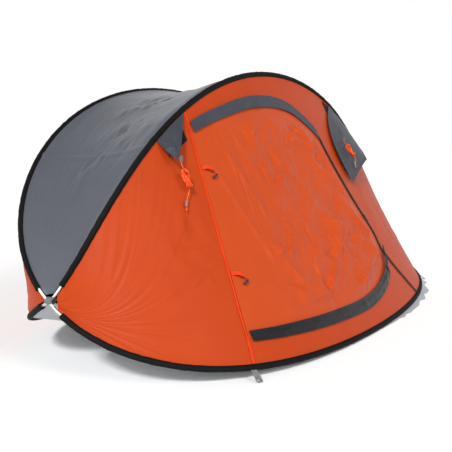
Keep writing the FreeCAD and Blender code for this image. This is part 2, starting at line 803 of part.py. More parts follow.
def main():
    os.makedirs("parts", exist_ok=True)
    parts = {}
    parts.update(build_hoop("outer", "front", "rear", outer_hoop))
    parts.update(build_hoop("inner", "rear", "front", inner_hoop))
    parts.update(build_crossing_wraps())
    parts.update(build_floor())
    parts.update(build_cover())
    parts.update(build_front())
    parts.update(build_door_trim())
    parts.update(build_zip())
    parts.update(build_vents())
    parts.update(build_guy("left", LEFT_GUY, LEFT_HANK_FOOT, LEFT_TAIL))
    parts.update(build_guy("right", RIGHT_GUY, RIGHT_HANK_FOOT, RIGHT_TAIL))
    parts.update(build_ties())
    for name, x, side in STRAPS:
        parts.update(build_strap(name, x, side))
    report_lines()
    for name, shape in parts.items():
        if not shape.isValid():
            print("not valid:", name)
        print(f"{name:24s} {shape.Volume / 1000:10.2f} cm3 {len(shape.Solids)}")
        shape.exportStep(f"parts/{name}.step")


main()
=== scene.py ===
"""Pop-up tent on two sprung pole hoops: fabric, trim, cords and studio, in metres."""

import json
import math

import bmesh
import bpy
import numpy as np
from mathutils import Matrix, Vector


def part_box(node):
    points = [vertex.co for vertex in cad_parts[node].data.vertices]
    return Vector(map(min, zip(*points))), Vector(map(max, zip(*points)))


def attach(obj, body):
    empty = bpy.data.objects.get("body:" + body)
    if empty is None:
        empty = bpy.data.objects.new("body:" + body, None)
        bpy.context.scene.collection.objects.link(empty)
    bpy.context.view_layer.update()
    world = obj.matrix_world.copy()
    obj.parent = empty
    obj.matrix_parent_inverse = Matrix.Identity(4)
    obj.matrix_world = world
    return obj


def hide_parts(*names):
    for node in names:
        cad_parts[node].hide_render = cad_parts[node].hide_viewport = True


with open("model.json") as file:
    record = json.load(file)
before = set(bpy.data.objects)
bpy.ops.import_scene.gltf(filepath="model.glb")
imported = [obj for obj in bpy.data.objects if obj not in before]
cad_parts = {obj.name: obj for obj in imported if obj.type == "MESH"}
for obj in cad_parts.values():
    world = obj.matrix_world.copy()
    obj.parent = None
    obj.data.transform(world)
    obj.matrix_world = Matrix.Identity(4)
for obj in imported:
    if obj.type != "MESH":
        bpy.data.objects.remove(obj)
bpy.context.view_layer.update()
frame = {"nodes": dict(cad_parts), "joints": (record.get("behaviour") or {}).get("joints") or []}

# The hoops, as in the CAD part
HALF_LENGTH, CROSSING_STEP, POLE_HEIGHT = 1.225, 0.007, 0.0105
OUTER_FOOT, REAR_ARCH_HEIGHT, REAR_ARCH_LEAN = 0.634, 0.970, 0.111
INNER_FOOT, FRONT_ARCH_HEIGHT, FRONT_ARCH_LEAN = 0.850, 1.012, -0.299
REAR_FOOT, REAR_SPREAD, REAR_SETTLING = 0.520, 0.68, 0.90
RISE_START, RISE_SOFTNESS, SPLAY_SOFTNESS = 0.30, 0.90, 1.453
PLAN_SQUARENESS, GROUND_FLATNESS, ARCH_FLATNESS = 0.052, 0.032, -0.035
FLOOR_SCALE_X, FLOOR_SCALE_Y = 0.60, 0.90

# The sleeves: a little slimmer than in the CAD part, because their gathers are added
SLEEVE_RADIUS, SLEEVE_START, SLEEVE_SIDES = 0.0092, 0.060, 16

# The fabric, as in the CAD part, except that it reaches nearer to the crossings
EDGE_REACH = 0.0085
END_X, END_ANGLE = 1.2240, 0.055
SEAM_BOW, WALL_BOW, ROOF_SAG = 0.004, 0.020, 0.034
SEAM_FOOT_X, SEAM_HEAD_X = -0.890, -0.730
DOOR_TOP = ((-0.530, 0.911), (-0.300, 0.902), (-0.045, 0.871), (0.090, 0.815), (0.175, 0.760))
DOOR_RIGHT = ((0.191, 0.669), (0.232, 0.522), (0.265, 0.432), (0.304, 0.320), (0.300, 0.235))
DOOR_BOTTOM = ((0.180, 0.140), (-0.100, 0.085), (-0.440, 0.084), (-0.720, 0.097))
DOOR_HEAD_LEVEL, DOOR_FOOT_LEVEL, SILL_END_X = 0.930, 0.110, 0.480
FLAP_WIDTH_LEVEL = 0.046
ZIP_HALF_GAP, SEAM_GAP, HEM_GAP = 0.0045, 0.0008, 0.001
LEFT_HOOD = ((-0.896, 0.995, 0.0035), (-0.748, 0.995, 0.0035), (-0.884, 0.874, 0.044), (-0.870, 0.874, 0.046))
RIGHT_HOOD = ((0.545, 0.995, 0.0035), (0.925, 0.995, 0.0035), (0.318, 0.547, 0.018), (0.600, 0.688, 0.064))
TIE_LEVELS = {"upper": 0.775, "lower": 0.365}
STRAP_X, REAR_STRAP_X = 0.905, 0.450
STRAP_LENGTH, STRAP_WIDTH, STRAP_ROOT, EYELET_INSET = 0.046, 0.022, 0.0115, 0.011
GUY_DIAMETER = 0.0032
DOOR_GRID, FLAP_GRID = (300, 240), (200, 16)

# How thick each kind of sheet is drawn
WALL_THICK, FLOOR_THICK, TRIM_THICK = 0.0007, 0.0008, 0.0009
BINDING_THICK, TAPE_THICK, WEBBING_THICK, STRAP_THICK = 0.0011, 0.0012, 0.0014, 0.0019

# The camera
CAMERA_PLACE = (-2.6626, -1.5080, 0.7200)
CAMERA_YAW, CAMERA_PITCH, CAMERA_LENS = 1.0232, -0.1204, 53.2

# The studio: the white dome dims towards its top, and soft suns light the tent from the front left
ZENITH, STUDIO_REACH = 0.22, 60
SUNS = (("key", (-4.6, -1.0, 4.2), 10.0, 3.0), ("front", (-1.0, -5.0, 4.0), 25.0, 0.9))


# ---------------------------------------------------------------- hoops and walls


def ramp(value, softness):
    return 0.5 * (value + np.hypot(value, softness))


def rise(up):
    low, high = ramp(-1 - RISE_START, RISE_SOFTNESS), ramp(1 - RISE_START, RISE_SOFTNESS)
    return (ramp(up - RISE_START, RISE_SOFTNESS) - low) / (high - low)


def along_x(angle):
    return (np.cos(angle) - PLAN_SQUARENESS * np.cos(3 * angle)) / (1 - PLAN_SQUARENESS)


def hoop(angle, half_length, foot, height, lean, side):
    """Points on a hoop: angle 0 is the right end, 90 degrees the apex, 270 the ground's middle."""
    angle = np.asarray(angle, float)
    sine = np.sin(angle)
    flat = np.where(sine < 0, GROUND_FLATNESS, ARCH_FLATNESS)
    up = (sine + flat * np.sin(3 * angle)) / (1 - flat)
    level = ramp(0.0, SPLAY_SOFTNESS)
    span = ramp(1.0, SPLAY_SOFTNESS) - level
    y = lean * (ramp(up, SPLAY_SOFTNESS) - level) - foot * (ramp(-up, SPLAY_SOFTNESS) - level)
    z = POLE_HEIGHT + height * rise(up)
    return np.stack([half_length * along_x(angle), side * y / span, z], -1)


def outer_hoop(angle):
    """Ground pole at the front, arch at the rear."""
    return hoop(angle, HALF_LENGTH + CROSSING_STEP, OUTER_FOOT, REAR_ARCH_HEIGHT, REAR_ARCH_LEAN, 1)


def inner_hoop(angle):
    """Ground pole at the rear, arch at the front."""
    point = hoop(angle, HALF_LENGTH - CROSSING_STEP, INNER_FOOT, FRONT_ARCH_HEIGHT, FRONT_ARCH_LEAN, -1)
    depth = -np.sin(np.asarray(angle, float))
    low = np.clip(depth, 0, 1)
    drop = FRONT_ARCH_HEIGHT * rise(0.0) * (1 - low) ** REAR_SETTLING
    y = np.where(depth > 0, REAR_FOOT * low * (REAR_SPREAD + (1 - REAR_SPREAD) * low), point[..., 1])
    z = np.where(depth > 0, POLE_HEIGHT + drop, point[..., 2])
    return np.stack([point[..., 0], y, z], -1)


TABLE_ANGLES = np.linspace(math.pi, 0, 6001)
TABLE_X = HALF_LENGTH * along_x(TABLE_ANGLES)


def angle_at(x):
    return np.interp(x, TABLE_X, TABLE_ANGLES)


def unit(v):
    return v / np.maximum(np.linalg.norm(v, axis=-1, keepdims=True), 1e-12)


def between(start, end, share):
    line = end - start
    margin = EDGE_REACH / np.linalg.norm(line, axis=-1)
    return start + line * (margin + (1 - 2 * margin) * share)[..., None]


def bow(x, share):
    """How far tension draws a wall in between its sleeves, least beside the hinge seam."""
    ease = np.clip(1 - x / SEAM_HEAD_X, 0, 1)
    depth = SEAM_BOW + (WALL_BOW - SEAM_BOW) * ease * ease * (3 - 2 * ease)
    return depth * 4 * share * (1 - share) * (1 - np.abs(x / HALF_LENGTH) ** 6)


def wall(low, high, side, x, share):
    inward = np.zeros_like(low)
    inward[..., 1] = -side * (high[..., 2] - low[..., 2])
    inward[..., 2] = side * (high[..., 1] - low[..., 1])
    return between(low, high, share) + unit(inward) * bow(x, share)[..., None]


def front_wall(x, share):
    x, share = np.broadcast_arrays(np.asarray(x, float), np.asarray(share, float))
    angle = angle_at(x)
    return wall(outer_hoop(-angle), inner_hoop(angle), -1, x, share)


def rear_wall(x, share):
    x, share = np.broadcast_arrays(np.asarray(x, float), np.asarray(share, float))
    angle = angle_at(x)
    return wall(inner_hoop(-angle), outer_hoop(angle), 1, x, share)


def roof(x, share):
    """The roof, from the front arch (0) to the rear one (1), saddle-shaped between them."""
    x, share = np.broadcast_arrays(np.asarray(x, float), np.asarray(share, float))
    angle = angle_at(x)
    slack = ROOF_SAG * 4 * share * (1 - share) * (1 - np.abs(x / HALF_LENGTH) ** 4)
    drop = np.stack([0.35 * slack * x / HALF_LENGTH, 0 * slack, slack], -1)
    return between(inner_hoop(angle), outer_hoop(angle), share) - drop


def seam_x(share):
    """Where the hinge seam is at this share, so that it is straight as seen from the front."""
    share = np.asarray(share, float)
    foot, head = front_wall(SEAM_FOOT_X, 0.0), front_wall(SEAM_HEAD_X, 1.0)
    x = np.full(share.shape, SEAM_FOOT_X)
    for _ in range(6):
        height = (front_wall(x, share)[..., 2] - foot[2]) / (head[2] - foot[2])
        x = SEAM_FOOT_X + (SEAM_HEAD_X - SEAM_FOOT_X) * height
    return x


def curve(points):
    """A smooth line through flat (x, share) points, as a function of 0 to 1 along its length."""
    points = np.array(points)
    knots = np.append(0, np.cumsum(np.hypot(*np.diff(points, axis=0).T)))
    last = len(points) - 1
    low = np.maximum(np.arange(last + 1) - 1, 0)
    high = np.minimum(np.arange(last + 1) + 1, last)
    slopes = (points[high] - points[low]) / (knots[high] - knots[low])[:, None]

    def at(t):
        place = np.clip(t, 0, 1) * knots[-1]
        k = np.clip(np.searchsorted(knots, place) - 1, 0, last - 1)
        h = (knots[k + 1] - knots[k])[..., None]
        f = (place - knots[k])[..., None] / h
        step, leaving, arriving = points[k + 1] - points[k], slopes[k] * h, slopes[k + 1] * h
        return points[k] + f * (
            leaving + f * (3 * step - 2 * leaving - arriving + f * (leaving + arriving - 2 * step))
        )

    return at


def line(start, end):
    start, end = np.array(start), np.array(end)
    return lambda t: start + (end - start) * np.asarray(t, float)[..., None]


def seam_line(start, end, shift=0.0):
    def at(t):
        share = start + (end - start) * np.asarray(t, float)
        return np.stack([seam_x(share) + shift, share], -1)

    return at


def shifted(border, dx=0.0, dshare=0.0):
    return lambda t: border(t) + np.array([dx, dshare])


def region(left, right, bottom, top):
    """Fills four border lines: gives (x, share) for u across and w up."""

    def at(u, w):
        a, b = u[..., None], w[..., None]
        zero, one = np.float64(0), np.float64(1)
        across = (1 - a) * left(w) + a * right(w)
        up = (1 - b) * bottom(u) + b * top(u)
        low = (1 - a) * bottom(zero) + a * bottom(one)
        high = (1 - a) * top(zero) + a * top(one)
        return across + up - (1 - b) * low - b * high

    return at


# ---------------------------------------------------------------- wrinkles


def lattice(i, j, seed):
    """Repeatable numbers from 0 to 1 for whole-number grid places."""
    n = (i * 374761393 + j * 668265263 + seed * 974711) & 0xFFFFFFFF
    n = ((n ^ (n >> 13)) * 1274126177) & 0xFFFFFFFF
    return ((n ^ (n >> 16)) & 0xFFFF) / 65535.0


def noise(u, v, seed):
    """Smooth noise from -1 to 1 with features one unit across."""
    i, j = np.floor(u).astype(np.int64), np.floor(v).astype(np.int64)
    f, g = u - i, v - j
    f, g = f * f * (3 - 2 * f), g * g * (3 - 2 * g)
    low = lattice(i, j, seed) * (1 - f) + lattice(i + 1, j, seed) * f
    high = lattice(i, j + 1, seed) * (1 - f) + lattice(i + 1, j + 1, seed) * f
    return 2 * (low * (1 - g) + high * g) - 1


def facets(u, v, seed):
    """Distance to the nearest of scattered points: flat facets that meet in sharp creases."""
    i, j = np.floor(u).astype(np.int64), np.floor(v).astype(np.int64)
    nearest = np.full(np.shape(u), 9.0)
    for di in (-1, 0, 1):
        for dj in (-1, 0, 1):
            a = i + di + lattice(i + di, j + dj, seed) - u
            b = j + dj + lattice(i + di, j + dj, seed + 7) - v
            nearest = np.minimum(nearest, a * a + b * b)
    return np.sqrt(nearest)


def crumple(u, v, size, seed):
    """Crushed cloth: facets at three sizes, on coordinates bent by noise. About -0.5 to 0.5."""
    u, v = u / size, v / size
    bent_u = u + 0.35 * noise(1.3 * u, 1.3 * v, seed + 1)
    bent_v = v + 0.35 * noise(1.3 * u, 1.3 * v, seed + 2)
    tall = facets(bent_u, bent_v, seed + 3) + 0.45 * facets(2.1 * bent_u, 2.1 * bent_v, seed + 4)
    return tall + 0.2 * facets(4.3 * bent_u, 4.3 * bent_v, seed + 5) - 0.75


def step(value, low, high):
    f = np.clip((value - low) / (high - low), 0, 1)
    return f * f * (3 - 2 * f)


def plateau(value, start, full, falling, end):
    """0 before start and after end, 1 from full to falling, and smooth between."""
    return step(value, start, full) * (1 - step(value, falling, end))


def patch(x, share, centre, size):
    """A soft round area: 1 at its centre and fading outwards."""
    return np.exp(-(((x - centre[0]) / size[0]) ** 2) - ((share - centre[1]) / size[1]) ** 2)


def fan(x, h, centre, per_radian, seed):
    """Tension folds that spread from a point, from 0 to 1 at the crests."""
    dx, dh = x - centre[0], h - centre[1]
    turn, reach = np.arctan2(dh, dx), np.hypot(dx, dh)
    wave = noise(turn * per_radian, reach * 1.5, seed)
    wave += 0.5 * noise(turn * per_radian * 2.3, reach * 2, seed + 1)
    return 1 - np.minimum(np.abs(wave) * 1.6, 1)


def fold(x, h, start, end, width, height, side=0.0):
    """One crease between two places, which fades at its ends."""
    ax, ah = end[0] - start[0], end[1] - start[1]
    long = math.hypot(ax, ah)
    along = ((x - start[0]) * ax + (h - start[1]) * ah) / long**2
    off = ((x - start[0]) * ah - (h - start[1]) * ax) / long
    off = off + side * 4 * along * (1 - along)
    fade = plateau(along, -0.1, 0.3, 0.7, 1.1)
    return height * fade * np.exp(-np.abs(off / width) ** 1.4)


# ---------------------------------------------------------------- meshes


def placed(name, mesh, smooth=True):
    """An object made from a finished mesh."""
    mesh.polygons.foreach_set("use_smooth", np.full(len(mesh.polygons), smooth))
    obj = bpy.data.objects.new(name, mesh)
    bpy.context.scene.collection.objects.link(obj)
    return obj


def mesh_object(name, verts, faces, chart=None, smooth=True):
    """An object made from points and faces; the chart lays it out flat, in metres, for its weave."""
    mesh = bpy.data.meshes.new(name)
    mesh.from_pydata(np.asarray(verts).tolist(), [], faces)
    if chart is not None:
        loops = np.empty(len(mesh.loops), np.int32)
        mesh.loops.foreach_get("vertex_index", loops)
        layer = mesh.uv_layers.new(name="cloth")
        layer.data.foreach_set("uv", chart[loops].astype(np.float32).ravel())
    mesh.validate()
    return placed(name, mesh, smooth)


def crossed(along, across):
    return np.meshgrid(along, across, indexing="ij")


def grid(columns, rows):
    return crossed(np.linspace(0, 1, columns), np.linspace(0, 1, rows))


def normals(points):
    return unit(np.cross(np.gradient(points, axis=0), np.gradient(points, axis=1)))


def ring_faces(index):
    """The faces between rows of points, where each row closes on itself."""
    wrapped = np.roll(index, -1, axis=1)
    quads = index[:-1], wrapped[:-1], wrapped[1:], index[1:]
    return np.stack([q.ravel() for q in quads], -1).tolist()


def lengths(points, axis):
    """Distances along a grid's middle line, from 0."""
    middle = np.take(points, points.shape[1 - axis] // 2, axis=1 - axis)
    return np.append(0, np.cumsum(np.linalg.norm(np.diff(middle, axis=0), axis=-1)))


def shell(name, points, thickness):
    """A closed thin sheet about a grid of points, smooth on both sides and sharp at its rim."""
    nu, nv = points.shape[:2]
    half = normals(points) * (thickness / 2)
    verts = np.concatenate([(points + half).reshape(-1, 3), (points - half).reshape(-1, 3)])
    index = np.arange(nu * nv).reshape(nu, nv)
    corners = index[:-1, :-1], index[1:, :-1], index[1:, 1:], index[:-1, 1:]
    top = np.stack([c.ravel() for c in corners], -1)
    ring = np.concatenate([index[:, 0], index[-1, 1:], index[-2::-1, -1], index[0, -2:0:-1]])
    after = np.roll(ring, -1)
    rim = np.stack([after, ring, ring + nu * nv, after + nu * nv], -1)
    faces = np.concatenate([top, top[:, ::-1] + nu * nv, rim])
    chart = np.stack(crossed(lengths(points, 0), lengths(points, 1)), -1)
    chart = np.tile(chart.reshape(-1, 2), (2, 1))
    ends = np.stack([ring, after], -1)
    sharp = {tuple(sorted(e)) for e in np.concatenate([ends, ends + nu * nv]).tolist()}
    obj = mesh_object(name, verts, faces.tolist(), chart)
    pairs = np.empty(2 * len(obj.data.edges), np.int32)
    obj.data.edges.foreach_get("vertices", pairs)
    flags = [tuple(sorted(e)) in sharp for e in pairs.reshape(-1, 2).tolist()]
    obj.data.attributes.new("sharp_edge", "BOOLEAN", "EDGE").data.foreach_set("value", flags)
    return obj


def cloth(name, points, relief, thickness, material, body, nodes=()):
    """A sheet of cloth: a smooth grid of points with wrinkles along its normals."""
    obj = shell(name, points + normals(points) * np.asarray(relief)[..., None], thickness)
    finish(obj, material, body, nodes)


def finish(obj, material, body, nodes=()):
    """Gives a piece its material and body, and its name where it stands for CAD nodes."""
    if nodes:
        obj.name = obj.name.removesuffix(".001") + "_skin"
    obj.data.materials.clear()
    obj.data.materials.append(material)
    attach(obj, body)
    if nodes:
        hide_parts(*nodes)


def strip_points(path, across, width, columns=7):
    """A ribbon's grid: a path and, at each of its points, the direction across it."""
    path = np.asarray(path, float)
    across = np.broadcast_to(unit(np.asarray(across, float)), path.shape)
    offsets = np.linspace(-width / 2, width / 2, columns)
    return path[:, None] + across[:, None] * offsets[None, :, None]


def smooth_path(points, count):
    """A Catmull-Rom path through a few points."""
    points = np.asarray(points, float)
    padded = np.concatenate([[2 * points[0] - points[1]], points, [2 * points[-1] - points[-2]]])
    places = np.linspace(0, len(points) - 1, count)
    k = np.minimum(places.astype(int), len(points) - 2)
    t = (places - k)[:, None]
    a, b, c, d = padded[k], padded[k + 1], padded[k + 2], padded[k + 3]
    return 0.5 * (2 * b + (c - a) * t + (2 * a - 5 * b + 4 * c - d) * t**2 + (3 * b - a - 3 * c + d) * t**3)


def tube_object(name, path, radius, bore):
    """An open tube along a path, from a grid of outer radii (path by sides) and one inner radius."""
    path = np.asarray(path, float)
    count, sides = radius.shape
    tangent = unit(np.gradient(path, axis=0))
    side = np.empty_like(path)
    side[0] = unit(np.cross(tangent[0], [0.3, 0.2, 1.0]))
    for k in range(1, count):
        side[k] = side[k - 1] - tangent[k] * (side[k - 1] @ tangent[k])
        side[k] /= np.linalg.norm(side[k])
    other = np.cross(tangent, side)
    turn = np.linspace(0, 2 * math.pi, sides, endpoint=False)
    spokes = side[:, None] * np.cos(turn)[None, :, None] + other[:, None] * np.sin(turn)[None, :, None]
    outer = (path[:, None] + spokes * radius[..., None]).reshape(-1, 3)
    inner = (path[:, None] + spokes * bore).reshape(-1, 3)
    index = np.arange(count * sides).reshape(count, sides)
    wrapped = np.roll(index, -1, axis=1)
    faces = ring_faces(index)
    faces += [[f + len(outer) for f in face[::-1]] for face in faces]
    for ring, turned, flip in ((index[0], wrapped[0], 1), (index[-1], wrapped[-1], -1)):
        for a, b in zip(ring.tolist(), turned.tolist()):
            faces.append([b, a, a + len(outer), b + len(outer)][::flip])
    chart = np.stack(crossed(lengths(path[:, None], 0), turn * 0.01), -1)
    chart = np.tile(chart.reshape(-1, 2), (2, 1))
    return mesh_object(name, np.concatenate([outer, inner]), faces, chart)


def axes(centre, x_axis, y_axis, z_axis):
    turn = Matrix([Vector(x_axis), Vector(y_axis), Vector(z_axis)]).transposed().to_4x4()
    return Matrix.Translation(Vector(centre)) @ turn


def blocks(name, place, pieces, bevel):
    """Bevelled blocks in one mesh, each given by its centre and size in a local frame."""
    made = bmesh.new()
    for centre, size in pieces:
        box = bmesh.ops.create_cube(made, size=1.0)["verts"]
        bmesh.ops.scale(made, vec=size, verts=box)
        bmesh.ops.translate(made, vec=centre, verts=box)
    bmesh.ops.bevel(made, geom=made.edges[:], offset=bevel, segments=3, affect="EDGES", profile=0.5)
    bmesh.ops.transform(made, matrix=place, verts=made.verts)
    mesh = bpy.data.meshes.new(name)
    made.to_mesh(mesh)
    made.free()
    return placed(name, mesh)


def lathe(name, place, profile, closed=False, steps=32):
    """A turned shape: (radius, height) profile points about the local Z axis."""
    profile = np.array(profile)
    turn = np.linspace(0, 2 * math.pi, steps, endpoint=False)
    rings = np.stack(
        [
            profile[:, None, 0] * np.cos(turn),
            profile[:, None, 0] * np.sin(turn),
            np.broadcast_to(profile[:, None, 1], (len(profile), steps)),
        ],
        -1,
    )
    index = np.arange(rings[..., 0].size).reshape(len(profile), steps)
    if closed:
        index = np.concatenate([index, index[:1]])
    faces = ring_faces(index)
    if not closed:
        faces += [index[0][::-1].tolist(), index[-1].tolist()]
    local = rings.reshape(-1, 3)
    turned = np.array(place)[:3, :3]
    verts = local @ turned.T + np.array(place)[:3, 3]
    return mesh_object(name, verts, faces)


def mirrored(half):
    """A turned shape's profile from its lower half."""
    return half + [(radius, -height) for radius, height in half[::-1]]


# ---------------------------------------------------------------- materials


class Shader:
    """A Principled material under construction."""

    def __init__(self, name, **settings):
        self.material = bpy.data.materials.new(name)
        self.material.use_nodes = True
        self.tree = self.material.node_tree
        self.main = self.tree.nodes["Principled BSDF"]
        for key, value in settings.items():
            self.main.inputs[key.replace("_", " ")].default_value = value

    def node(self, kind, links=(), **settings):
        made = self.tree.nodes.new(kind)
        for key, value in settings.items():
            if key[0].isupper():
                made.inputs[key.replace("_", " ")].default_value = value
            else:
                setattr(made, key, value)
        for socket, source in dict(links).items():
            self.tree.links.new(source, made.inputs[socket])
        return made

    def colour_between(self, factor, low, high):
        mix = self.node("ShaderNodeMix", data_type="RGBA")
        self.tree.links.new(factor, mix.inputs[0])
        mix.inputs[6].default_value = (*low, 1)
        mix.inputs[7].default_value = (*high, 1)
        return mix.outputs[2]

    def spread(self, factor, low, high):
        out = self.node("ShaderNodeMapRange", {"Value": factor}, To_Min=low, To_Max=high)
        return out.outputs["Result"]

    def finish(self, colour, height, depth, strength, roughness=None):
        self.tree.links.new(colour, self.main.inputs["Base Color"])
        if roughness is not None:
            self.tree.links.new(roughness, self.main.inputs["Roughness"])
        bump = self.node("ShaderNodeBump", {"Height": height}, Distance=depth, Strength=strength)
        self.tree.links.new(bump.outputs["Normal"], self.main.inputs["Normal"])
        return self.material


def fabric(name, low, high, rough, thread=0.0009, specular=0.16):
    """Woven coated cloth: crossing threads, slow colour drift and uneven gloss."""
    s = Shader(name, Specular_IOR_Level=specular)
    chart = s.node("ShaderNodeUVMap", uv_map="cloth").outputs["UV"]
    place = s.node("ShaderNodeTexCoord").outputs["Object"]
    scale = 0.314 / thread
    warp = s.node("ShaderNodeTexWave", {"Vector": chart}, Scale=scale, Distortion=0.6, bands_direction="X")
    weft = s.node("ShaderNodeTexWave", {"Vector": chart}, Scale=scale, Distortion=0.6, bands_direction="Y")
    weave = s.node(
        "ShaderNodeMath", {0: warp.outputs["Fac"], 1: weft.outputs["Fac"]}, operation="MULTIPLY"
    )
    drift = s.node("ShaderNodeTexNoise", {"Vector": place}, Scale=7.0, Detail=4.0, Roughness=0.55)
    grain = s.node("ShaderNodeTexNoise", {"Vector": place}, Scale=60.0, Detail=3.0)
    colour = s.colour_between(drift.outputs["Fac"], low, high)
    gloss = s.spread(grain.outputs["Fac"], *rough)
    return s.finish(colour, weave.outputs["Value"], 0.00012, 0.35, gloss)


def webbing(name, low, high, rib=0.0022):
    """Coarse woven tape with ribs across it."""
    s = Shader(name, Sheen_Weight=0.03, Sheen_Roughness=0.5, Specular_IOR_Level=0.2)
    chart = s.node("ShaderNodeUVMap", uv_map="cloth").outputs["UV"]
    scale = 0.314 / rib
    ribs = s.node("ShaderNodeTexWave", {"Vector": chart}, Scale=scale, Distortion=1.2, bands_direction="X")
    cross = s.node("ShaderNodeTexWave", {"Vector": chart}, Scale=scale * 1.6, bands_direction="DIAGONAL")
    both = s.node("ShaderNodeMath", {0: ribs.outputs["Fac"], 1: cross.outputs["Fac"]}, operation="ADD")
    half = s.node("ShaderNodeMath", {0: both.outputs["Value"]}, operation="MULTIPLY")
    half.inputs[1].default_value = 0.5
    colour = s.colour_between(half.outputs["Value"], low, high)
    return s.finish(colour, half.outputs["Value"], 0.0004, 0.6, s.spread(half.outputs["Value"], 0.7, 0.85))


def moulded(name, low, high, rough=(0.35, 0.55), metallic=0.0):
    """Moulded plastic or metal with fine scuffs."""
    s = Shader(name, Metallic=metallic)
    place = s.node("ShaderNodeTexCoord").outputs["Object"]
    scuff = s.node("ShaderNodeTexNoise", {"Vector": place}, Scale=90.0, Detail=5.0, Roughness=0.65)
    colour = s.colour_between(scuff.outputs["Fac"], low, high)
    return s.finish(colour, scuff.outputs["Fac"], 0.00008, 0.4, s.spread(scuff.outputs["Fac"], *rough))


def braided(name, base, fleck):
    """Braided cord: crossing strands with pale tracer flecks."""
    s = Shader(name, Sheen_Weight=0.03, Roughness=0.6, Specular_IOR_Level=0.2)
    place = s.node("ShaderNodeTexCoord").outputs["Object"]
    strands = s.node("ShaderNodeTexVoronoi", {"Vector": place}, Scale=420.0, feature="F1")
    tracer = s.node("ShaderNodeTexNoise", {"Vector": place}, Scale=210.0, Detail=1.0)
    ramp_node = s.node("ShaderNodeValToRGB", {"Fac": tracer.outputs["Fac"]})
    ramp_node.color_ramp.elements[0].position = 0.60
    ramp_node.color_ramp.elements[1].position = 0.66
    colour = s.colour_between(ramp_node.outputs["Color"], base, fleck)
    return s.finish(colour, strands.outputs["Distance"], 0.0005, 0.7)


ORANGE = fabric("orange_cloth", (0.36, 0.034, 0.0015), (0.42, 0.042, 0.002), rough=(0.44, 0.56))
DOOR_ORANGE = fabric(
    "door_cloth", (0.40, 0.046, 0.006), (0.47, 0.057, 0.008), rough=(0.36, 0.48), specular=0.14
)
GREY = fabric("roof_cloth", (0.062, 0.066, 0.082), (0.078, 0.083, 0.102), rough=(0.26, 0.36), specular=0.45)
TRIM = fabric("trim_cloth", (0.034, 0.037, 0.047), (0.048, 0.052, 0.066), rough=(0.42, 0.55))
DARK_TRIM = fabric("dark_trim_cloth", (0.007, 0.007, 0.008), (0.014, 0.014, 0.017), rough=(0.30, 0.42))
BLACK = fabric(
    "sleeve_cloth", (0.003, 0.003, 0.003), (0.006, 0.006, 0.006), (0.6, 0.75), thread=0.0014, specular=0.1
)
FLOOR = fabric("groundsheet_cloth", (0.34, 0.35, 0.37), (0.46, 0.47, 0.49), rough=(0.45, 0.6), thread=0.0016)
MESH = fabric("vent_net", (0.004, 0.004, 0.005), (0.010, 0.010, 0.011), rough=(0.7, 0.9), thread=0.0030)
RIBBON = fabric("ribbon_cloth", (0.62, 0.030, 0.002), (0.70, 0.040, 0.003), rough=(0.5, 0.6), thread=0.0012)
WEBBING = webbing("grey_webbing", (0.09, 0.095, 0.105), (0.20, 0.21, 0.23))
STRAP = webbing("strap_webbing", (0.10, 0.105, 0.11), (0.22, 0.23, 0.23))
# Black zip tape: its black is partly the tape's own colour and partly painted shade, for the shadow gap
# beside the door and the crease below the door.
ZIP_TAPE_AND_SHADE = webbing("zip_tape_and_painted_shade", (0.003, 0.003, 0.004), (0.008, 0.008, 0.009), rib=0.0012)
ROD = moulded("rod_fibreglass", (0.72, 0.71, 0.68), (0.86, 0.85, 0.82), rough=(0.3, 0.45))
STEEL = moulded("ferrule_steel", (0.55, 0.55, 0.56), (0.72, 0.72, 0.73), rough=(0.25, 0.4), metallic=0.9)
EYELET = moulded("eyelet_metal", (0.35, 0.35, 0.36), (0.5, 0.5, 0.51), rough=(0.22, 0.38), metallic=1.0)
PLASTIC = moulded("black_plastic", (0.010, 0.010, 0.011), (0.022, 0.022, 0.024))
GREY_PLASTIC = moulded("grey_plastic", (0.12, 0.125, 0.13), (0.18, 0.185, 0.19))
CORD = braided("guy_cord", (0.70, 0.055, 0.004), (0.80, 0.26, 0.06))


# ---------------------------------------------------------------- camera, light and floor


